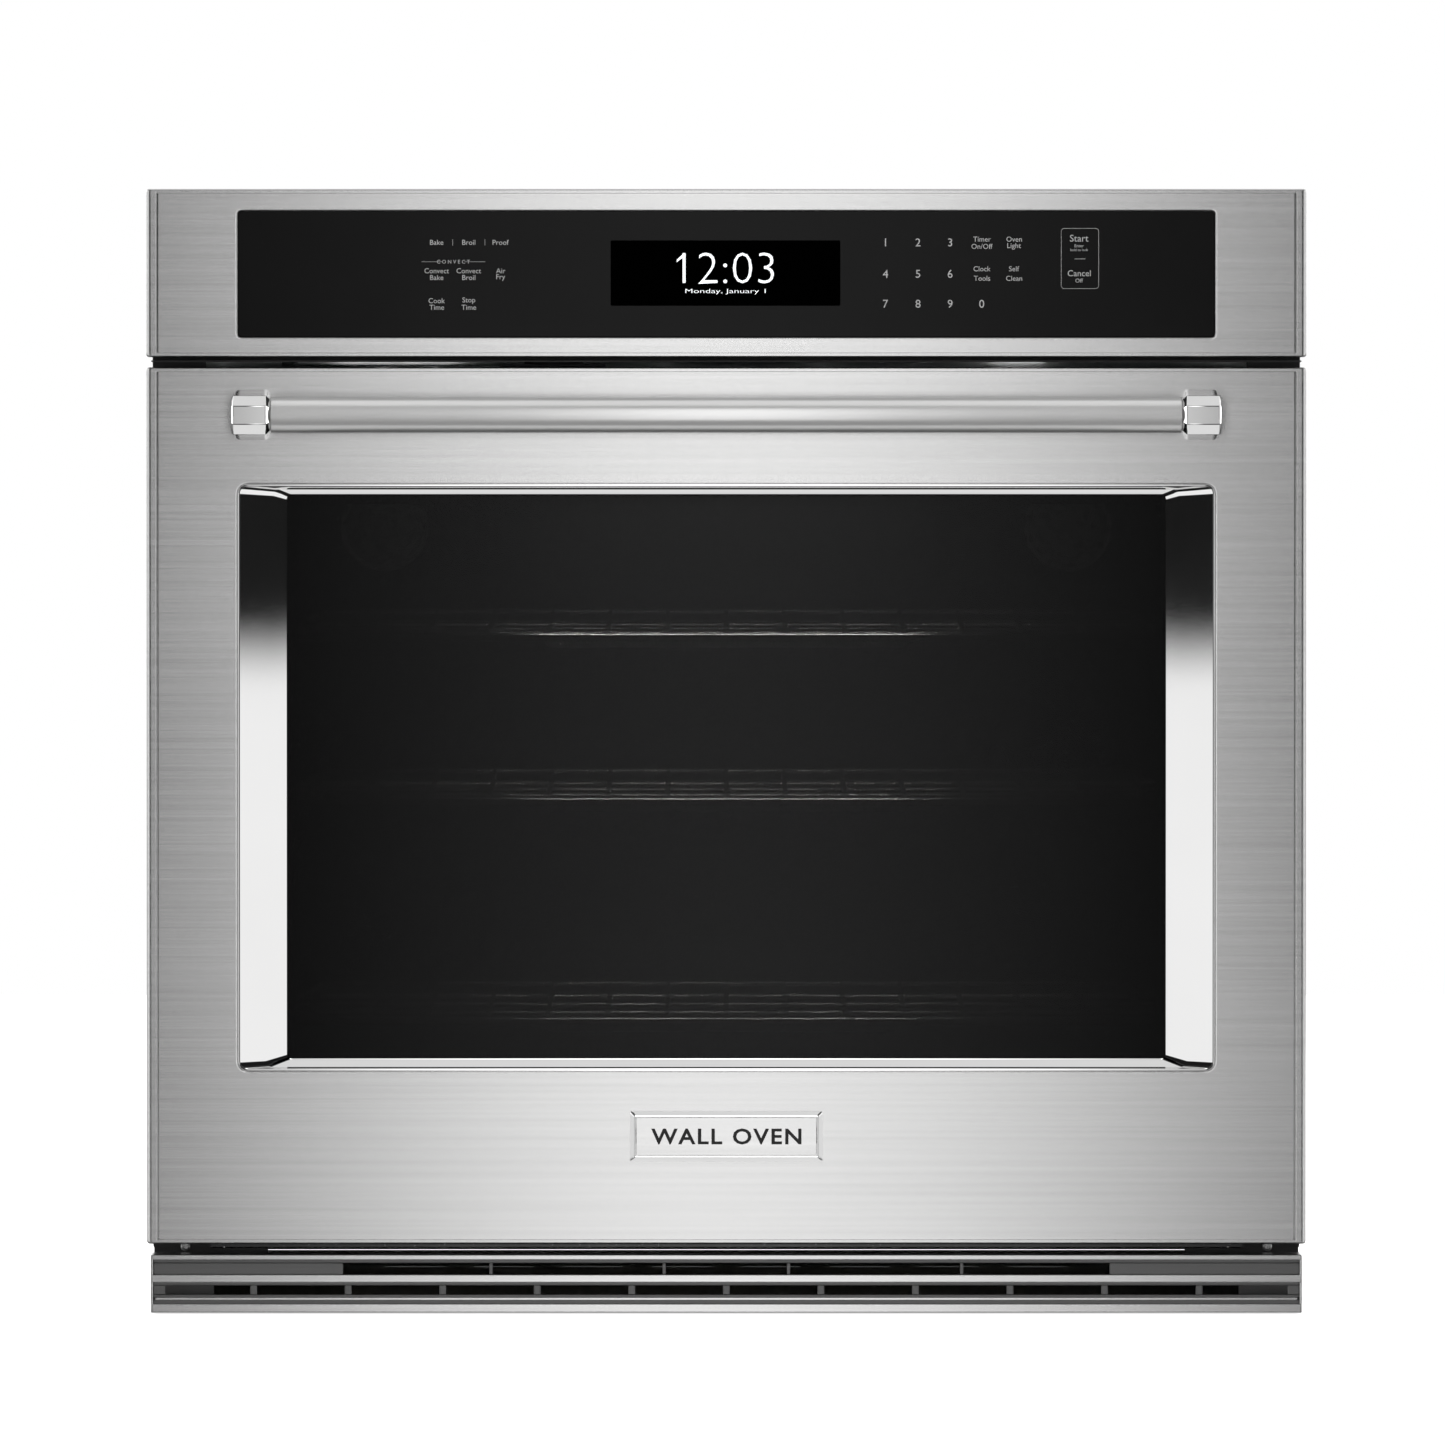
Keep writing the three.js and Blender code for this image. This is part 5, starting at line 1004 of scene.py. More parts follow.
# Heights of the trim's bands over its lower edge, from the top down.
TRIM_LIP = 0.0346
TRIM_SLOT_TOP = 0.0323
TRIM_SLOT_LOW = 0.0248
TRIM_BAND_LOW = 0.0199
TRIM_LOUVRE_LOW = 0.0099
TRIM_LEDGE_LOW = 0.0083
TRIM_LIP_TOP = 0.0059
TRIM_DIVIDERS = (0.0406, 0.1536)
TRIM_SLOT_END = 0.250
RIB_PITCH = 0.0617
RIB_HALF = 0.0023


TRIM_SHADE_PLATE_START = 0.335  # plates behind the trim's ends, outside the base pan, in the darker steel as painted shade


class OVEN_OT_vent_trim(bpy.types.Operator):
    """The slotted steel trim under the door"""

    bl_idname = "oven.vent_trim"
    bl_label = "Lower vent trim"

    def execute(self, context):
        low, high = corners("lower_vent_trim")
        half, rear = high[0], high[1]
        face = low[1]
        bright = [
            box_of(-half, half, face, rear, TRIM_LIP, high[2], radius=0.0006, edge=0.0006),
            box_of(-half, half, face, face + 0.010, TRIM_BAND_LOW, TRIM_SLOT_LOW, radius=0.0005, edge=0.0005),
            box_of(-half, half, face, face + 0.009, low[2], TRIM_LIP_TOP, radius=0.0008, edge=0.0008),
            box_of(-half + 0.003, half - 0.003, face + 0.001, face + 0.009, TRIM_LEDGE_LOW, TRIM_LOUVRE_LOW,
                   radius=0.0003, edge=0.0003),
        ]
        for side in (-1, 1):
            x0, x1 = sorted((side * half, side * (half - 0.0016)))
            bright.append(box_of(x0, x1, face + 0.0005, rear, 0.0004, high[2] - 0.0004, radius=0.0004,
                                 edge=0.0004))
        make("vent_trim_bright", bright, steel(), "chassis", ("lower_vent_trim",))
        make("vent_trim_recess", self.recesses(half, face, rear), self.painted_shade_steel(), "chassis")
        return {"FINISHED"}

    def painted_shade_steel(self):
        # The brushed steel at 0.3 of its tone: painted shade for the trim's set-back parts, which are the
        # same steel as its bright bands.
        return brushed_steel(bpy.context.scene.wall_oven, "trim_recess_painted_shade_steel",
                         (3, 700, 1100), 0.40, 0.30)

    def recesses(self, half, face, rear):
        """The set-back parts: strip over the slot, slot ends and dividers, louvre plate with its ribs,
        groove floor and the tray behind. They take the darker steel, which is painted shade."""
        inner = half - 0.0016
        shapes = [
            box_of(-inner, inner, face + 0.004, face + 0.006, TRIM_SLOT_TOP, TRIM_LIP + 0.0002),
            box_of(-inner, inner, face + 0.006, rear, 0.0020, 0.0034, radius=0.0004, edge=0.0004),
            box_of(-inner, inner, face + 0.003, face + 0.0045, TRIM_BAND_LOW - 0.0021,
                   TRIM_BAND_LOW + 0.0004),
            box_of(-inner, inner, face + 0.003, face + 0.0045, TRIM_LOUVRE_LOW - 0.0004,
                   TRIM_LOUVRE_LOW + 0.0019),
            box_of(-inner, inner, face + 0.0035, face + 0.005, TRIM_LIP_TOP - 0.0004,
                   TRIM_LEDGE_LOW + 0.0004),
        ]
        for side in (-1, 1):
            x0, x1 = sorted((side * TRIM_SLOT_END, side * inner))
            shapes.append(box_of(x0, x1, face + 0.004, face + 0.0055, TRIM_SLOT_LOW - 0.0002,
                                 TRIM_SLOT_TOP + 0.0002))
            for divider in TRIM_DIVIDERS:
                x = side * divider
                shapes.append(box_of(x - 0.0012, x + 0.0012, face + 0.0045, rear - 0.012,
                                     TRIM_SLOT_LOW - 0.0002,
                                     TRIM_SLOT_TOP + 0.0002, radius=0.0005))
        ribs = [n * RIB_PITCH for n in range(-5, 6)]
        for x in ribs:
            shapes.append(box_of(x - RIB_HALF, x + RIB_HALF, face + 0.003, face + 0.0045,
                                 TRIM_LOUVRE_LOW + 0.0017, TRIM_BAND_LOW - 0.0019, radius=0.0004))
        for side in (-1, 1):
            x0, x1 = sorted((side * (half - 0.0095), side * inner))
            shapes.append(box_of(x0, x1, face + 0.003, face + 0.0045, TRIM_LOUVRE_LOW + 0.0017,
                                 TRIM_BAND_LOW - 0.0019, radius=0.0004))
            # Dark plates behind the trim's ends: painted shade for the gaps there.
            x0, x1 = sorted((side * TRIM_SHADE_PLATE_START, side * inner))
            shapes.append(box_of(x0, x1, rear - 0.0030, rear - 0.0018, 0.0030, TRIM_LIP + 0.0004,
                                 radius=0.0004))
        return shapes


# ---- Console -----------------------------------------------------------------------------------

LABEL_SIZE = 0.0047
# (words, x, height over the glass's lower edge, size share)
LABELS = [
    ("Bake", -0.1887, 0.0617, 1.0), ("Broil", -0.1678, 0.0617, 1.0), ("Proof", -0.1470, 0.0617, 1.0),
    ("C O N V E C T", -0.1778, 0.0491, 0.72),
    ("Convect", -0.1887, 0.0432, 1.0), ("Bake", -0.1887, 0.0388, 1.0),
    ("Convect", -0.1678, 0.0432, 1.0), ("Broil", -0.1678, 0.0388, 1.0),
    ("Air", -0.1470, 0.0432, 1.0), ("Fry", -0.1470, 0.0388, 1.0),
    ("Cook", -0.1887, 0.0237, 1.0), ("Time", -0.1887, 0.0194, 1.0),
    ("Stop", -0.1678, 0.0237, 1.0), ("Time", -0.1678, 0.0194, 1.0),
    ("Timer", 0.1666, 0.0638, 1.0), ("On/Off", 0.1666, 0.0591, 1.0),
    ("Oven", 0.1875, 0.0638, 1.0), ("Light", 0.1875, 0.0591, 1.0),
    ("Clock", 0.1666, 0.0445, 1.0), ("Tools", 0.1666, 0.0383, 1.0),
    ("Self", 0.1875, 0.0445, 1.0), ("Clean", 0.1875, 0.0383, 1.0),
    ("Start", 0.2299, 0.0644, 1.35), ("Enter", 0.2299, 0.0595, 0.6), ("hold to lock", 0.2299, 0.0568, 0.5),
    ("Cancel", 0.2299, 0.0416, 1.2), ("Off", 0.2299, 0.0368, 0.8),
]
DIGIT_COLUMNS = (0.1037, 0.1249, 0.1458)
DIGIT_ROWS = (0.0617, 0.0412, 0.0217)
ZERO_X = 0.1664
DIGIT_SIZE = 0.0075
START_BOX = (0.2182, 0.2426, 0.0316, 0.0708)
DISPLAY_BOX = (-0.0754, 0.0743, 0.0204, 0.0630)
TIME_SIZE = (0.0631, 0.0202)
TIME_HEIGHT = 0.0449
DAY_HEIGHT = 0.0296
DAY_SIZE = (0.0522, 0.0036)


class OVEN_OT_console(bpy.types.Operator):
    """Control panel, its glass, the printed legends and the lit display"""

    bl_idname = "oven.console"
    bl_label = "Console"

    def execute(self, context):
        low, high = corners("control_panel_frame")
        glass_low, glass_high = corners("control_glass")
        opening = (glass_low[0] - FIT, glass_high[0] + FIT, glass_low[2] - FIT, glass_high[2] + FIT, 0.0025)
        make("control_panel_skin", [folded_front(low, high, opening, high[1] - low[1])], steel(), "chassis",
             ("control_panel_frame",))
        make("control_glass_pane", [slab(glass_low, glass_high, 0.0022, 0.0006)],
             control_glass(), "chassis", ("control_glass",))
        x0, x1, z0, z1 = DISPLAY_BOX
        front, base = glass_low[1], glass_low[2]
        make("display_window",
             [box_of(x0, x1, front - 3e-5, front + 0.0004, base + z0, base + z1, edge=1e-5)],
             display_black(), "chassis")
        make("console_legends", self.legends(front - 2e-5, base), printed_label(),
             "chassis")
        make("display_digits", self.readout(context.scene.wall_oven, front - 5e-5, base),
             lit_digits(), "chassis")
        rounded_copy("display_board", circuit_board(), "chassis",
                     edge=0.0002)
        rounded_copy("console_bracket", black_sheet(), "chassis", edge=0.0002)
        return {"FINISHED"}

    def legends(self, front, base):
        """Printed words and digits, the outline round the start keys, and the thin lines between words."""
        shapes = [lettering(words, (x, front, base + z), LABEL_SIZE * share) for words, x, z, share in LABELS]
        keys = [(x, z, str(3 * row + column + 1)) for row, z in enumerate(DIGIT_ROWS)
                for column, x in enumerate(DIGIT_COLUMNS)]
        keys.append((ZERO_X, DIGIT_ROWS[2], "0"))
        shapes += [lettering(words, (x, front, base + z), DIGIT_SIZE) for x, z, words in keys]
        x0, x1, z0, z1 = START_BOX
        turn = outline(x0, x1, base + z0, base + z1, 0.002, front, 4)
        shapes.append(sweep(turn, rectangle(0.00012, 1e-5), (0, 1, 0), closed=True))
        for x in (-0.1783, -0.1573):
            shapes.append(self.rule(x - 0.0001, x + 0.0001, base + 0.0597, base + 0.0637, front))
        middle = (x0 + x1) / 2
        shapes.append(self.rule(middle - 0.0035, middle + 0.0035, base + 0.0508, base + 0.0511, front))
        for x0, x1 in ((-0.1985, -0.1850), (-0.1706, -0.1571)):
            shapes.append(self.rule(x0, x1, base + 0.0490, base + 0.0492, front))
        return shapes

    def rule(self, x0, x1, z0, z1, front):
        """A printed line: a very thin box on the glass."""
        return box_of(x0, x1, front - 1e-5, front + 1e-5, z0, z1, radius=2e-5, edge=4e-6, steps=1)

    def readout(self, settings, front, base):
        """The time, with a short flag drawn on its first stroke, and the day under it."""
        middle = (DISPLAY_BOX[0] + DISPLAY_BOX[1]) / 2
        left = middle - TIME_SIZE[0] / 2
        top = base + TIME_HEIGHT + TIME_SIZE[1] / 2
        stroke = np.array([(-0.0002, -0.0046), (-0.0002, -0.0062), (0.0046, -0.0026), (0.0046, -0.0002)])
        layer = np.stack([left + stroke[:, 0], np.full(4, front), top + stroke[:, 1]], -1)
        return [
            skin(np.stack([layer - [0, 1e-5, 0], layer + [0, 1e-5, 0]])),
            lettering(settings.time_shown, (middle + 0.0018, front, base + TIME_HEIGHT), 0.02,
                      fit=(TIME_SIZE[0] - 0.0036, TIME_SIZE[1]), weight=-0.018),
            lettering("Monday, January 1", (middle, front, base + DAY_HEIGHT), 0.004, fit=DAY_SIZE,
                      weight=-0.01),
        ]


class OVEN_OT_electronics(bpy.types.Operator):
    """Relay board and terminal box above the cavity"""

    bl_idname = "oven.electronics"
    bl_label = "Electronics"

    def execute(self, context):
        low, high = corners("relay_board")
        plate_low = low[2] + 0.008
        top = plate_low + 0.0016
        board = [box_of(low[0], high[0], low[1], high[1], plate_low, top, axis=2, radius=0.002, edge=0.0002)]
        make("relay_board_plate", board, circuit_board(), "chassis", ("relay_board",))
        relays, pins = [], []
        for n in range(5):
            x = low[0] + 0.008 + 0.034 * n
            relays.append(box_of(x, x + 0.026, -0.020, 0.016, top, top + 0.016, axis=2, radius=0.0012))
            pins += [lathe([(top - 0.004, 0.0006), (top + 0.001, 0.0006)],
                           (x + 0.004 + 0.006 * k, 0.012, 0), 2, 8)
                     for k in range(4)]
        make("board_relays", relays, moulded_plastic("relay_blue", (0.03, 0.07, 0.16)), "chassis")
        feet = [lathe(rounded_ends(low[2], plate_low, 0.004, 0.0005), (x, y, 0), 2, 16)
                for x in (low[0] + 0.010, high[0] - 0.010) for y in (low[1] + 0.010, high[1] - 0.010)]
        make("board_feet_and_pins", feet + pins, machined_steel(), "chassis")
        core = [box_of(-0.290, -0.235, -0.105, -0.055, top, top + 0.012, axis=2),
                box_of(-0.290, -0.235, -0.105, -0.055, top + 0.026, top + 0.034, axis=2)]
        make("board_transformer_core", core, machined_steel("transformer_core", 0.25),
             "chassis")
        coil = [box_of(-0.283, -0.242, -0.101, -0.059, top + 0.0118, top + 0.0262, axis=2, radius=0.004,
                       edge=0.002)]
        make("board_transformer_coil", coil, moulded_plastic("coil_tape", (0.42, 0.27, 0.05)), "chassis")
        cans = [lathe([(top, 0.0076), (top + 0.001, 0.008), (top + 0.002, 0.0074), (top + 0.003, 0.008),
                       (top + 0.0215, 0.008), (top + 0.0225, 0.0074)], (-0.210 + 0.028 * n, -0.080, 0), 2, 24)
                for n in range(3)]
        make("board_capacitors", cans, moulded_plastic("capacitor_sleeve", (0.02, 0.02, 0.03)), "chassis")
        rounded_copy("terminal_box", galvanised_sheet(), "chassis")
        return {"FINISHED"}


# ---- Cavity ------------------------------------------------------------------------------------


def kept_out(points, low, high):
    """Points inside a box that is open towards -Y, moved out through its nearest wall."""
    walls = np.stack([points[:, 0] - low[0], high[0] - points[:, 0], high[1] - points[:, 1],
                      points[:, 2] - low[2], high[2] - points[:, 2]], -1)
    inside = (walls > 0).all(-1)
    wall = walls.argmin(-1)
    axis = np.array([0, 0, 1, 2, 2])[wall]
    limit = np.array([low[0], high[0], high[1], low[2], high[2]])[wall]
    moved = points.copy()
    rows = np.nonzero(inside)[0]
    moved[rows, axis[rows]] = limit[rows]
    return moved


def wool(node, body, name, around=None):
    """A copy of the node remeshed finely, with each point moved inwards by a smooth random-looking
    sum of sines, so that the blanket sags between its edges. It stays out of the box given as around."""
    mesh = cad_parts[node].data.copy()
    piece = linked("wool", mesh)
    remesh = piece.modifiers.new("remesh", "REMESH")
    remesh.mode = "VOXEL"
    remesh.voxel_size = 0.006
    result = evaluated(piece)
    bpy.data.objects.remove(piece)
    result.name = name
    points, normals = values_of(result), values_of(result, "normal")
    x, y, z = points.T
    lump = np.sin(70 * x + 3 * np.sin(31 * z)) + np.sin(83 * y + 2 * np.sin(43 * x))
    lump = lump + np.sin(61 * z + 2 * np.sin(37 * y))
    moved = points - normals * (0.0012 + 0.00035 * lump)[:, None]
    if around:
        moved = kept_out(moved, *around)
    result.vertices.foreach_set("co", moved.ravel())
    shaded(result, 60)
    return put(name, result, mineral_wool(), body, (node,))


PRESS = 0.0004


def pressed_on(points):
    """The back's points moved forwards, towards the liner's rear edge."""
    return points - [0, PRESS, 0]


class OVEN_OT_cavity(bpy.types.Operator):
    """Enamelled cavity with its gasket and insulation"""

    bl_idname = "oven.cavity"
    bl_label = "Cavity"

    def execute(self, context):
        for node in ("cavity_liner", "cavity_front_frame", "fan_cover"):
            rounded_copy(node, cavity_enamel(), "chassis", edge=0.0004)
        rounded_copy("cavity_back", cavity_enamel(), "chassis", edge=0, shift=pressed_on)
        low, high = corners("cavity_liner")
        clear = np.full(3, PRESS)
        back = np.array([0, corners("cavity_back")[1][1] - high[1], 0])
        wool("insulation_blanket", "chassis", "insulation_wrap", (low - clear, high + clear + back))
        low, high = corners("door_gasket")
        width = 0.010
        path = outline(low[0] + width / 2, high[0] - width / 2, low[2] + width / 2, high[2] - width / 2,
                       0.016,
                       (low[1] + high[1]) / 2, 12)
        angle = np.linspace(0, 2 * math.pi, 20, endpoint=False)
        round_off = np.sign(np.cos(angle)) * np.abs(np.cos(angle)) ** 0.7
        section = np.stack([width / 2 * round_off, (high[1] - low[1]) / 2 * np.sin(angle)], -1)
        make("gasket_rope", [sweep(path, section, (0, 1, 0), closed=True)], gasket_braid(),
             "chassis", ("door_gasket",), angle=70)
        make("gasket_clips", self.clips(low, high), machined_steel(), "chassis")
        return {"FINISHED"}

    def clips(self, low, high):
        """Small round studs that hold the gasket to the front frame, along its upper and lower runs."""
        rear = corners("cavity_front_frame")[0][1]
        shapes = []
        for x in np.linspace(-0.24, 0.24, 5):
            for z in (low[2] - 0.0022, high[2] + 0.0022):
                shapes.append(lathe(rounded_ends(rear - 0.0016, rear, 0.0018, 0.0005), (x, 0, z), 1, 12))
        return shapes


# ---- Heating elements, sensor and lamps --------------------------------------------------------


def serpentine(left, pitch, runs, near, far, back, z):
    """Straight runs along Y joined by half circles, with both ends leaving at the back."""
    radius = pitch / 2
    turn = np.linspace(0, math.pi, 15)[1:-1]
    path = [(left, back, z)]
    for run in range(runs):
        x = left + run * pitch
        forward = run % 2 == 0
        ends = (far, near) if forward else (near, far)
        path += [(x, y, z) for y in np.linspace(ends[0], ends[1], 6)]
        if run < runs - 1:
            way = -1 if forward else 1
            path += [(x + radius * (1 - math.cos(t)), ends[1] + way * radius * math.sin(t), z) for t in turn]
    path.append((left + (runs - 1) * pitch, back, z))
    return np.array(path)


class OVEN_OT_elements(bpy.types.Operator):
    """Broil, bake and convection elements, the temperature sensor and the lamps"""

    bl_idname = "oven.elements"
    bl_label = "Heating elements and lamps"

    def execute(self, context):
        sheath = element_sheath()
        radius = 0.0038
        for node, runs, pitch in (("broil_element", 6, 0.084), ("bake_element", 4, 0.130)):
            low, high = corners(node)
            back_sheet = corners("cavity_back")[0][1]
            reach = 0.050 if node == "broil_element" else 0.040
            near = low[1] + 0.004 + pitch / 2
            far = back_sheet - reach - pitch / 2
            path = serpentine(-(runs - 1) * pitch / 2, pitch, runs, near, far, high[1] - 0.0005,
                              (low[2] + high[2]) / 2)
            make(node + "_tube", [sweep(path, circle(radius, 12), (0, 0, 1))], sheath, "chassis", (node,),
                 angle=50)
        make("convection_element_ring", self.ring(radius), sheath, "chassis", ("convection_element",),
             angle=50)
        make("element_brackets", self.brackets(), machined_steel(), "chassis")
        self.sensor()
        self.lamps()
        return {"FINISHED"}

    def ring(self, radius):
        """A circle about the fan's axis, with two straight leads back from its top."""
        low, high = corners("convection_element")
        centre_z = corners("convection_fan")[0][2] + 0.082
        y = low[1] + 0.004
        around = np.linspace(0, 2 * math.pi, 96, endpoint=False)
        big = 0.108
        path = np.stack([big * np.cos(around), np.full(96, y), centre_z + big * np.sin(around)], -1)
        loop = sweep(path, circle(radius, 12), (0, 1, 0), closed=True)
        leads = [sweep(np.array([(x, y, centre_z + big), (x, (y + high[1]) / 2, centre_z + big),
                                 (x, high[1], centre_z + big)]),
                       circle(0.0034, 12), (0, 0, 1)) for x in (-0.014, 0.014)]
        return [loop] + leads

    def brackets(self):
        """Bent wire hangers that hold the broil element to the ceiling."""
        low = corners("broil_element")[0]
        ceiling = corners("cavity_liner")[1][2] - SHEET
        shapes = []
        for x in (-0.168, 0.0, 0.168):
            for y in (-0.11, 0.09):
                half = 0.047
                z = low[2] - 0.0014
                path = bent([(x - half, y, ceiling), (x - half, y, z), (x + half, y, z),
                             (x + half, y, ceiling)], 0.004)
                shapes.append(sweep(path, circle(0.0012, 8), (0, 1, 0)))
        return shapes

    def sensor(self):
        """A probe with a quarter-circle tip, on a plate held by two screws."""
        low, high = corners("temperature_sensor")
        x = (low[0] + high[0]) / 2
        z = (low[2] + high[2]) / 2
        tip = low[1]
        turn = np.linspace(0, math.pi / 2, 5)
        dome = [(tip + 0.003 * (1 - math.cos(t)), 0.00295 * math.sin(t)) for t in turn[1:]]
        probe = lathe([(tip, 0.0002)] + dome + [(high[1], 0.00295)], (x, 0, z), 1, 20)
        back = corners("cavity_back")[0][1] - FIT
        plate = box_of(low[0], high[0], back - 0.0013, back, low[2], high[2], radius=0.0035, edge=0.0003)
        heads = [screw_head((x + side * 0.011, back - 0.0012, z), (1, -1), 0.0026, 0.0012)
                 for side in (-1, 1)]
        make("sensor_probe", [probe, plate] + heads, machined_steel(), "chassis", ("temperature_sensor",))

    def lamps(self):
        """Each lens is a hollow dome turned about its axis: radius and depth follow a quarter circle."""
        glass = lamp_glass()
        bulb_finish = lamp_bulb()
        for side in ("right", "left"):
            low, high = corners("lamp_lens_" + side)
            x, z = (low[0] + high[0]) / 2, (low[2] + high[2]) / 2
            rim, reach = (high[0] - low[0]) / 2, high[1] - low[1]
            turn = np.linspace(0, math.pi / 2, 9)
            outer = [(high[1] - 0.0015 - (reach - 0.0015) * math.cos(t), rim * 0.88 * math.sin(t))
                     for t in turn[1:]]
            edge = [(high[1] - 0.0020, rim * 0.97), (high[1] - 0.0012, rim), (high[1] - 0.0004, rim),
                    (high[1], rim * 0.97)]
            inner = [(high[1] - (reach - 0.0040) * math.cos(t), rim * 0.82 * math.sin(t))
                     for t in turn[:0:-1]]
            dome = [(low[1], 0.0003)] + outer + edge + inner + [(high[1] - reach + 0.0040, 0.0003)]
            make("lamp_dome_" + side, [lathe(dome, (x, 0, z), 1, 40)], glass, "chassis",
                 ("lamp_lens_" + side,), angle=50)
            rounded_copy("lamp_housing_" + side, galvanised_sheet(), "chassis")
            start = high[1] + 0.0045
            bulb = [(start, 0.0005), (start + 0.001, 0.004), (start + 0.004, 0.0065), (start + 0.012, 0.0075),
                    (start + 0.0175, 0.006)]
            make("lamp_bulb_" + side, [lathe(bulb, (x, 0, z), 1, 24)], bulb_finish, "chassis",
                 angle=60)


@cache
def lamp_bulb():
    """Milky quartz."""
    f = Finish("lamp_bulb", Roughness=0.25)
    milk = f.noise((200, 200, 200), 1.0)
    f.link("Base Color", f.mix(milk, tone(0.6, 0.02), tone(0.75, 0.02)))
    return f.material


# ---- Fans and air path -------------------------------------------------------------------------


class OVEN_OT_fans(bpy.types.Operator):
    """Convection fan, cooling blower, their motors and the air path"""

    bl_idname = "oven.fans"
    bl_label = "Fans"

    def execute(self, context):
        cast = cast_aluminium()
        make("convection_fan_wheel", self.fan(), cavity_enamel(), "convection_fan", ("convection_fan",))
        make("blower_wheel_drum", self.drum(), cast, "blower_wheel", ("blower_wheel",))
        for node in ("fan_motor", "blower_motor"):
            rounded_copy(node, cast, "chassis")
        for node in ("blower_housing", "air_duct", "vent_tube"):
            rounded_copy(node, galvanised_sheet(), "chassis")
        return {"FINISHED"}

    def fan(self):
        """A dished back disc, a hub with a cap nut, and blades that sweep back as they go outwards."""
        low, high = corners("convection_fan")
        radius = (high[0] - low[0]) / 2
        z = (low[2] + high[2]) / 2
        front = low[1] + 0.002
        disc = front + 0.020
        centre = (0, 0, z)
        shapes = [
            lathe([(disc - 0.0016, 0.002), (disc - 0.0016, radius - 0.001), (disc - 0.0010, radius - 0.0002),
                   (disc - 0.0004, radius - 0.0002), (disc, radius - 0.001), (disc, 0.002)], centre, 1, 72),
            lathe([(low[1] + 0.0002, 0.0005), (low[1] + 0.0006, 0.0035), (low[1] + 0.002, 0.0055),
                   (front + 0.002, 0.0056),
                   (front + 0.0024, 0.0088), (disc - 0.001, 0.0088)], centre, 1, 32),
            lathe([(disc - 0.002, 0.0039), (high[1] - 0.0006, 0.0039), (high[1], 0.0034)], centre, 1, 24),
        ]
        count = 8
        share = np.linspace(0, 1, 12)
        for n in range(count):
            reach = 0.034 + (radius - 0.0355) * share
            angle = 2 * math.pi * n / count + 0.2 + 0.28 * share**1.5
            path = np.stack([reach * np.cos(angle), np.full(12, (front + disc) / 2 - 0.0004),
                             z + reach * np.sin(angle)], -1)
            shapes.append(sweep(path, rectangle(0.0007, (disc - front) / 2 - 0.0008), (0, 1, 0)))
        return shapes

    def drum(self):
        """A squirrel cage: a floor disc, a rim ring and many blades curved forwards between them."""
        low, high = corners("blower_wheel")
        radius = (high[0] - low[0]) / 2
        y = (low[1] + high[1]) / 2
        centre = (0, y, 0)
        top = low[2] + 0.044
        ring = [(top - 0.003, radius - 0.009), (top - 0.003, radius - 0.0002), (top, radius - 0.0002),
                (top, radius - 0.009),
                (top - 0.003, radius - 0.009)]
        shapes = [
            lathe([(low[2], 0.002), (low[2], radius - 0.0004), (low[2] + 0.0016, radius - 0.0004),
                   (low[2] + 0.0016, 0.002)],
                  centre, 2, 64),
            self.hoop(ring, centre),
            lathe(rounded_ends(low[2] + 0.001, low[2] + 0.022, 0.0088, 0.001), centre, 2, 32),
            lathe([(low[2] + 0.010, 0.0034), (high[2] - 0.0005, 0.0034), (high[2], 0.0029)], centre, 2, 20),
        ]
        share = np.linspace(0, 1, 6)
        middle = (low[2] + top) / 2
        for n in range(28):
            reach = radius - 0.0095 + 0.0078 * share
            angle = 2 * math.pi * n / 28 + 0.13 * share**1.6
            path = np.stack([reach * np.cos(angle), y + reach * np.sin(angle), np.full(6, middle)], -1)
            shapes.append(sweep(path, rectangle(0.0003, (top - low[2]) / 2 - 0.0006), (0, 0, 1)))
        return shapes

    def hoop(self, profile, centre):
        """A closed profile of (height, radius) turned about the upright axis, so that it stays a ring."""
        points = np.array(profile[:-1])
        angle = np.linspace(0, 2 * math.pi, 64, endpoint=False)
        grid = np.zeros((len(points), 64, 3))
        grid[..., 2] = points[:, :1]
        grid[..., 0] = points[:, 1:] * np.cos(angle)
        grid[..., 1] = points[:, 1:] * np.sin(angle)
        return skin(grid + np.array(centre), closed_rows=True)


# ---- Latch and hinges --------------------------------------------------------------------------


class OVEN_OT_latch_and_hinges(bpy.types.Operator):
    """Door latch, hinge arms, receivers, hinge bodies and their coil springs"""

    bl_idname = "oven.latch_and_hinges"
    bl_label = "Latch and hinges"

    def execute(self, context):
        rounded_copy("latch_hook", machined_steel(), "latch_hook")
        rounded_copy("latch_motor", moulded_plastic("motor_black", (0.012, 0.012, 0.013)), "chassis")
        for side in ("right", "left"):
            rounded_copy("hinge_arm_" + side, machined_steel(), "chassis")
            rounded_copy("hinge_receiver_" + side, galvanised_sheet(), "chassis",
                         edge=0.0002)
            rounded_copy("hinge_body_" + side, galvanised_sheet(), "door", edge=0.0002)
            make("hinge_coil_" + side, [self.coil("hinge_spring_" + side)], machined_steel(), "door",
                 ("hinge_spring_" + side,), angle=60)
        return {"FINISHED"}

    def coil(self, node):
        """A round wire on a helix about the spring's upright axis."""
        low, high = corners(node)
        x, y = (low[0] + high[0]) / 2, (low[1] + high[1]) / 2
        wire_radius = 0.00085
        radius = (high[0] - low[0]) / 2 - wire_radius - 0.0001
        turns = 22
        share = np.linspace(0, 1, turns * 16)
        angle = 2 * math.pi * turns * share
        height = low[2] + wire_radius * 1.2 + (high[2] - low[2] - 2.4 * wire_radius) * share
        path = np.stack([x + radius * np.cos(angle), y + radius * np.sin(angle), height], -1)
        return sweep(path, circle(wire_radius, 8), (0, 0, 1))


# ---- Door --------------------------------------------------------------------------------------


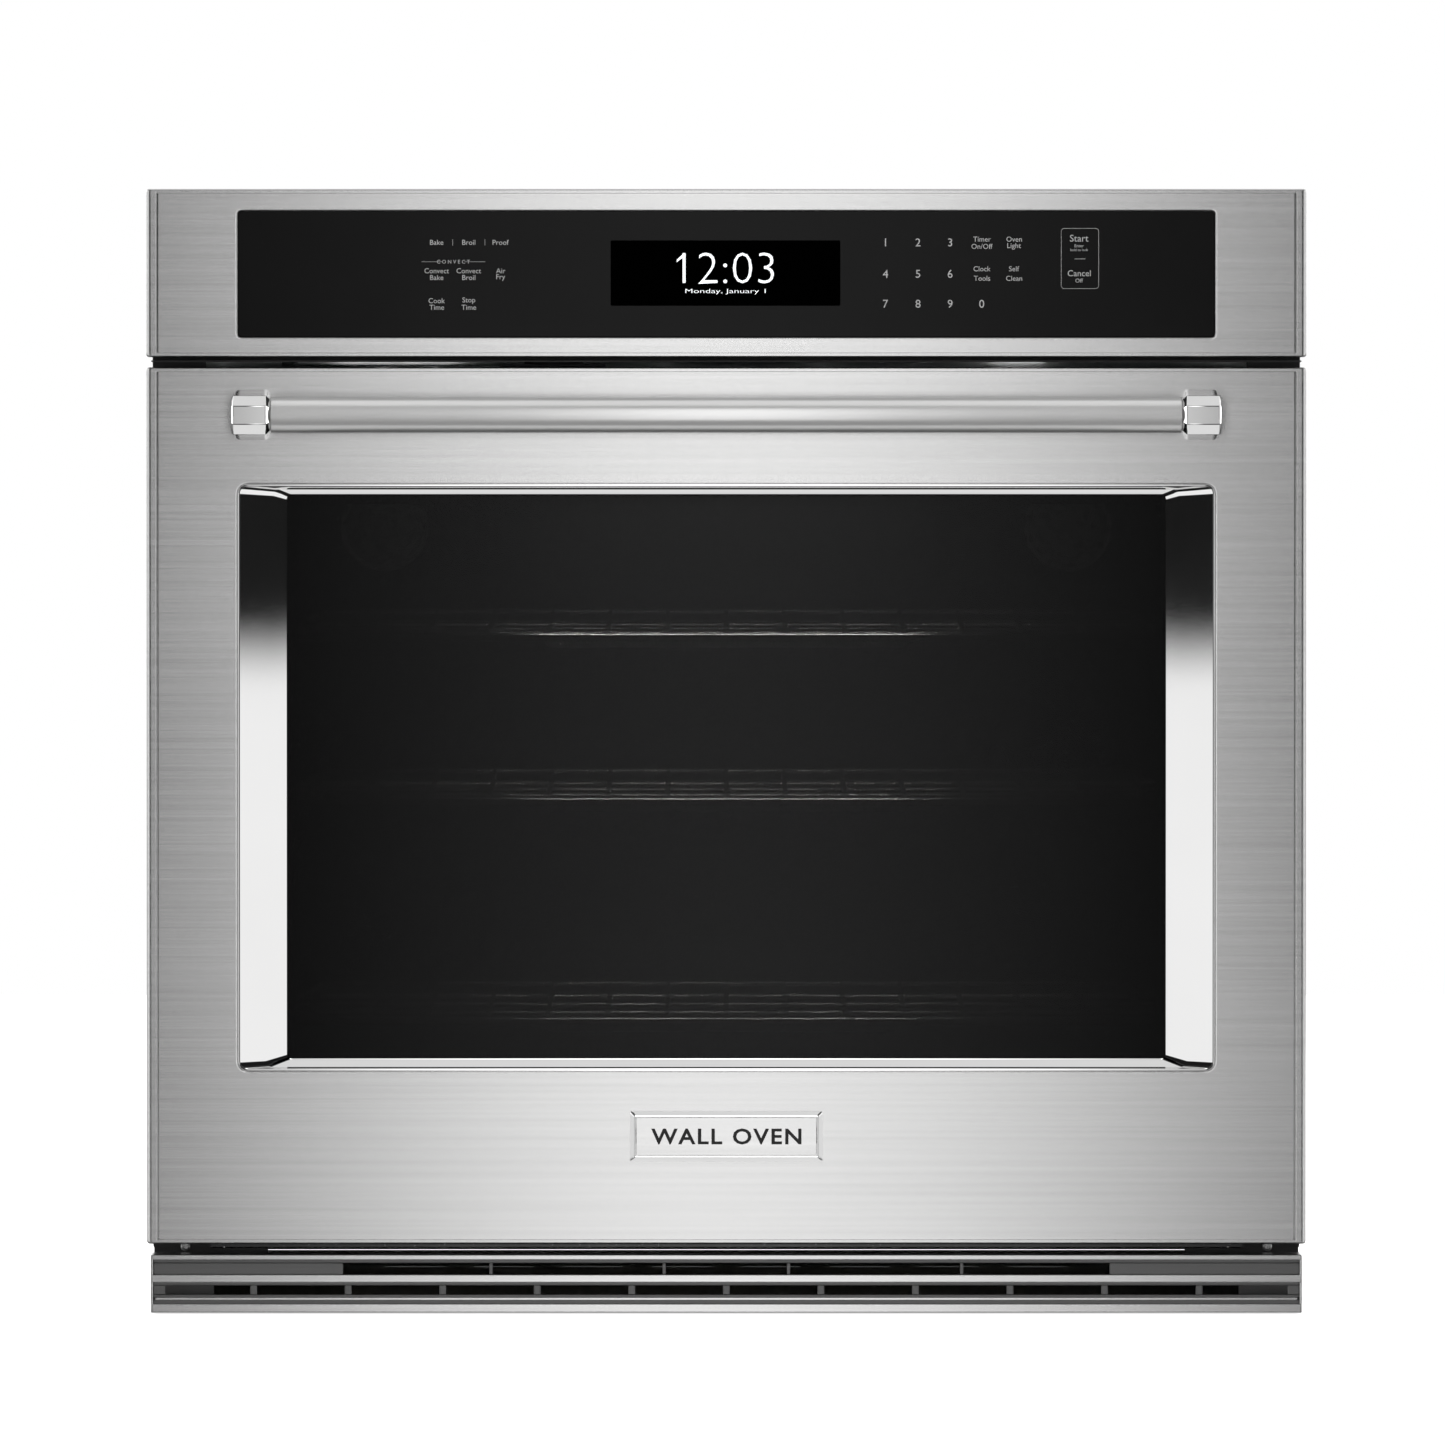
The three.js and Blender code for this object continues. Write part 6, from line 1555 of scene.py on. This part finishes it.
class OVEN_OT_door(bpy.types.Operator):
    """Door skin, liner and insulation"""

    bl_idname = "oven.door"
    bl_label = "Door"

    def execute(self, context):
        window = window_opening()
        skin_piece = make("door_skin",
                          [folded_front(FRONT_LOW, FRONT_HIGH, window + (0.0065,), FRONT_HIGH[1] - FACE)],
                          steel(), "door", ("door_outer_panel",))
        arm_low, arm_high = corners("hinge_arm_right")
        half = (arm_high[0] - arm_low[0]) / 2 + 0.001
        x = (arm_low[0] + arm_high[0]) / 2
        cut(skin_piece, [box_of(side * x - half, side * x + half, arm_low[1] - 0.001, FRONT_HIGH[1] + 0.005,
                                FRONT_LOW[2] - 0.005, FRONT_LOW[2] + 0.005) for side in (-1, 1)])
        rounded_copy("door_liner", cavity_enamel(), "door", edge=0.0003)
        wool("door_insulation", "door", "door_wool")
        return {"FINISHED"}


def window_opening():
    """The cut-out in the door skin, from the window frame's flange."""
    low, high = corners("window_bezel")
    return (low[0] + BEZEL_FLANGE, high[0] - BEZEL_FLANGE, low[2] + BEZEL_FLANGE, high[2] - BEZEL_FLANGE)


CREASE_DEEP = (0.55, 0.73)  # share of the slope's depth reached at the crease, bottom and top
CREASE_ACROSS = (0.16, 0.40)


class OVEN_OT_window(bpy.types.Operator):
    """Polished window frame and the three panes"""

    bl_idname = "oven.window"
    bl_label = "Window"

    def execute(self, context):
        x0, x1, z0, z1 = window_opening()
        x0, x1, z0, z1 = x0 + FIT, x1 - FIT, z0 + FIT, z1 - FIT
        back = corners("window_bezel")[1][1]
        sight = (x0 + BEZEL_SIDE, x1 - BEZEL_SIDE, z0 + BEZEL_BOTTOM, z1 - BEZEL_TOP)
        rim = lambda inset, y: outline(x0 + inset, x1 - inset, z0 + inset, z1 - inset, 0.0062 - inset, y, 8)
        inner = lambda grow, y: outline(sight[0] - grow, sight[1] + grow, sight[2] - grow, sight[3] + grow,
                                        0.0026 + grow, y, 8)
        flange = lambda grow, y: outline(x0 - grow, x1 + grow, z0 - grow, z1 + grow, 0.0062 + grow * 0.1,
                                         y, 8)
        turn = np.linspace(0, math.pi / 2, 6)
        roll = 0.0006
        flange_front = FACE + SHEET + FIT
        rows = [rim(0, flange_front), rim(0, FACE + roll + 0.0002)]
        rows += [rim(roll * (1 - math.cos(t)), FACE + roll * (1 - math.sin(t))) for t in turn]
        slope_end = back - 0.0015
        rows += [rim(0.0011, FACE), rim(0.0014, FACE + 0.0001)]
        rows += [self.crease(rows[-1], inner(0.0008, slope_end - 0.0002))]
        rows += [inner(0.0008, slope_end - 0.0002), inner(0.0002, slope_end), inner(0, slope_end + 0.0004)]
        rows += [inner(0, back - 0.0001), inner(0.0002, back), rim(0.0002, back), rim(0, back - 0.0002)]
        rows += [rim(0, flange_front + 0.0015), flange(0.0066, flange_front + 0.0015),
                 flange(0.0066, flange_front)]
        bright = polished_steel("window_frame_steel", 0.02)
        make("window_frame", [skin(np.stack(rows), closed_rows=True)], bright, "door", ("window_bezel",),
             angle=12)
        cover = context.scene.wall_oven.pane_cover
        tints = {
            "outer_glass": window_glass("outer_pane_glass", cover, 0.0015),
            "middle_glass": window_glass("inner_pane_glass", 0.10, 0.02),
            "inner_glass": window_glass("inner_pane_glass", 0.10, 0.02),
        }
        for node, tint in tints.items():
            pane_low, pane_high = corners(node)
            make(node + "_pane", [slab(pane_low, pane_high, 0.004, 0.0006)], tint, "door", (node,))
        return {"FINISHED"}

    def crease(self, start, end):
        """The line where the top and bottom faces turn from steep to shallow. Between the start and end
        outlines, x and y go the same share of the way, so the side faces stay flat; z goes less far."""
        lower = start[:, 2] < (start[:, 2].min() + start[:, 2].max()) / 2
        deep = np.where(lower, CREASE_DEEP[0], CREASE_DEEP[1])
        across = np.where(lower, CREASE_ACROSS[0], CREASE_ACROSS[1])
        return start + (end - start) * np.stack([deep, deep, across], -1)


class OVEN_OT_handle(bpy.types.Operator):
    """Handle bar and its two faceted ends"""

    bl_idname = "oven.handle"
    bl_label = "Handle"

    def execute(self, context):
        low, high = corners("handle_bar")
        y, z = (low[1] + high[1]) / 2, (low[2] + high[2]) / 2
        radius = (high[2] - low[2]) / 2
        spigot = 0.008
        shoulder = high[0] - spigot
        body = rounded_ends(-shoulder, shoulder, radius, 0.0004)
        profile = [(low[0], 0.0075), (low[0] + 0.0005, 0.0079), (-shoulder - 1e-5, 0.0079)] + body
        profile += [(shoulder + 1e-5, 0.0079), (high[0] - 0.0005, 0.0079), (high[0], 0.0075)]
        make("handle_rail", [lathe(profile, (0, y, z), 0, 64)], satin_bar_steel(), "door",
             ("handle_bar",))
        end = self.end()
        for side, shape in (("right", end), ("left", mirrored(end))):
            piece = make("handle_block_" + side, [shape],
                         polished_steel("handle_end_steel", 0.05),
                         "door", ("handle_end_" + side,), angle=15)
            bevelled(piece, 0.0004, 3, 18)
        return {"FINISHED"}

    def end(self):
        """An octagonal block along X, closed at both ends by short slopes, with a post behind it that
        widens towards the door."""
        low, high = corners("handle_end_right")
        half = (high[0] - low[0]) / 2
        bar_low, bar_high = corners("handle_bar")
        y, z = (bar_low[1] + bar_high[1]) / 2, (bar_low[2] + bar_high[2]) / 2

        def octagon(x, inset):
            r = half - inset
            f = half - 0.0067 - inset * 0.4
            ring = [(-r, -f), (-f, -r), (f, -r), (r, -f), (r, f), (f, r), (-f, r), (-r, f)]
            return np.array([(x, y + a, z + b) for a, b in ring])

        block = skin(np.stack([octagon(low[0], 0.0030), octagon(low[0] + 0.0030, 0),
                               octagon(high[0] - 0.0012, 0),
                               octagon(high[0], 0.0012)]))
        middle = (low[0] + high[0]) / 2
        wide = 0.01065
        front, back = y + 0.004, FACE - FIT
        post_rows = []
        for share in np.linspace(0, 1, 5):
            tall = half - 0.001 + (0.0165 - half + 0.001) * share**1.4
            post_rows.append(outline(middle - wide, middle + wide, z - tall, z + tall, 0.0022,
                                     front + (back - front) * share, 4))
        return together([block, skin(np.stack(post_rows))])


class OVEN_OT_badge(bpy.types.Operator):
    """Badge plate with a bevelled rim and raised generic words"""

    bl_idname = "oven.badge"
    bl_label = "Badge"

    def execute(self, context):
        low, high = corners("badge_plate")
        front = low[1]
        ring = lambda inset, y: outline(low[0] + inset, high[0] - inset, low[2] + inset, high[2] - inset,
                                        max(0.0012 - inset * 0.3, 0.0004), y, 4)
        rows = [ring(0, high[1]), ring(0, high[1] - 0.0004), ring(0.0026, front + 0.0001),
                ring(0.0029, front),
                ring(0.0034, front), ring(0.0037, front + 0.0001), ring(0.0042, front + 0.0006)]
        make("badge_frame", [skin(np.stack(rows))], polished_steel(), "door", ("badge_plate",),
             angle=20)
        plate = box_of(low[0] + 0.0041, high[0] - 0.0041, front + 0.0004, front + 0.0007, low[2] + 0.0041,
                       high[2] - 0.0041, radius=0.0005, edge=0.0001)
        make("badge_face", [plate], brushed_steel(context.scene.wall_oven,
                                              "badge_face_steel", (8, 500, 900), 0.22), "door")
        words, faces = lettering(context.scene.wall_oven.badge_words, (0, 0, 0), 0.02, 1.15,
                                 (0.098, 0.0105), 0.022)
        flat = words[:, 1] < 0
        words[:, 1] = np.where(flat, front + 0.00008, front + 0.0005)
        words[:, 2] += (low[2] + high[2]) / 2
        make("badge_words", [(words, faces)], moulded_plastic("badge_black", (0.008, 0.008, 0.008)), "door")
        return {"FINISHED"}


# ---- Racks -------------------------------------------------------------------------------------


class OVEN_OT_racks(bpy.types.Operator):
    """Three wire racks"""

    bl_idname = "oven.racks"
    bl_label = "Racks"

    def execute(self, context):
        for node in ("rack_upper", "rack_middle", "rack_lower"):
            make(node + "_wires", self.rack(node, context.scene.wall_oven), rack_wire(), node, (node,),
                 angle=60)
        return {"FINISHED"}

    def rack(self, node, settings):
        """An outer rail bent round the shelf, thin wires front to back that rise to the back stop, two
        ties under them, and a dropped grab wire in the middle of the front."""
        low, high = corners(node)
        rail, thin = settings.rail_radius, settings.wire_radius
        z = low[2] + 0.0071
        x = high[0] - 0.0032
        front, back = low[1] + 0.0032, high[1] - 0.0032
        turn = np.linspace(0, math.pi / 2, 7)
        bend = 0.012
        frame_path = np.concatenate([
            np.stack([cx + bend * np.cos(turn + quarter), cy + bend * np.sin(turn + quarter),
                      np.full(7, z)], -1)
            for cx, cy, quarter in ((x - bend, back - bend, 0), (-x + bend, back - bend, math.pi / 2),
                                    (-x + bend, front + bend, math.pi),
                                    (x - bend, front + bend, 1.5 * math.pi))
        ])
        shapes = [sweep(frame_path, circle(rail, 12), (0, 0, 1), closed=True)]
        count, pitch = 15, 0.0391
        stop = z + 0.009
        over = z + rail + thin - 0.0010
        for n in range(count):
            at = (n - (count - 1) / 2) * pitch
            path = bent([(at, front, z + 0.0006), (at, front + 0.006, over), (at, back - 0.014, over),
                         (at, back - 0.001, stop)],
                        0.006)
            shapes.append(sweep(path, circle(thin, 8), (1, 0, 0)))
        half = pitch * (count - 1) / 2
        ends = bent([(-half - 0.012, back, z), (-half - 0.002, back, stop), (half + 0.002, back, stop),
                     (half + 0.012, back, z)],
                    0.006)
        shapes.append(sweep(ends, circle(thin, 8), (0, 1, 0)))
        for share in (0.33, 0.67):
            y = front + (back - front) * share
            shapes.append(sweep(np.array([(-x, y, z), (0, y, z), (x, y, z)]), circle(thin, 8), (0, 0, 1)))
        reach = 0.116
        drop = z - 0.005
        grab = bent([(-reach - 0.004, front, z), (-reach, front - 0.0008, drop),
                     (reach, front - 0.0008, drop),
                     (reach + 0.004, front, z)], 0.004)
        shapes.append(sweep(grab, circle(thin, 10), (0, 1, 0)))
        return shapes


# ---- Panel and registration --------------------------------------------------------------------

OPERATORS = (
    OVEN_OT_chassis,
    OVEN_OT_vent_trim,
    OVEN_OT_console,
    OVEN_OT_electronics,
    OVEN_OT_cavity,
    OVEN_OT_elements,
    OVEN_OT_fans,
    OVEN_OT_latch_and_hinges,
    OVEN_OT_door,
    OVEN_OT_window,
    OVEN_OT_handle,
    OVEN_OT_badge,
    OVEN_OT_racks,
    OVEN_OT_stage,
)


class OVEN_PT_panel(bpy.types.Panel):
    bl_idname = "OVEN_PT_panel"
    bl_label = "Wall oven"
    bl_space_type = "VIEW_3D"
    bl_region_type = "UI"
    bl_category = "Wall oven"

    def draw(self, context):
        settings = context.scene.wall_oven
        for name in settings.bl_rna.properties.keys():
            if name not in ("rna_type", "name"):
                self.layout.prop(settings, name)
        for operator in OPERATORS:
            self.layout.operator(operator.bl_idname)


CLASSES = (WallOvenSettings, *OPERATORS, OVEN_PT_panel)


def register():
    for each in CLASSES:
        bpy.utils.register_class(each)
    bpy.types.Scene.wall_oven = bpy.props.PointerProperty(type=WallOvenSettings)


def unregister():
    del bpy.types.Scene.wall_oven
    for each in reversed(CLASSES):
        bpy.utils.unregister_class(each)


def main():
    register()
    for operator in OPERATORS:
        group, name = operator.bl_idname.split(".")
        getattr(getattr(bpy.ops, group), name)()


if __name__ == "__main__":
    main()
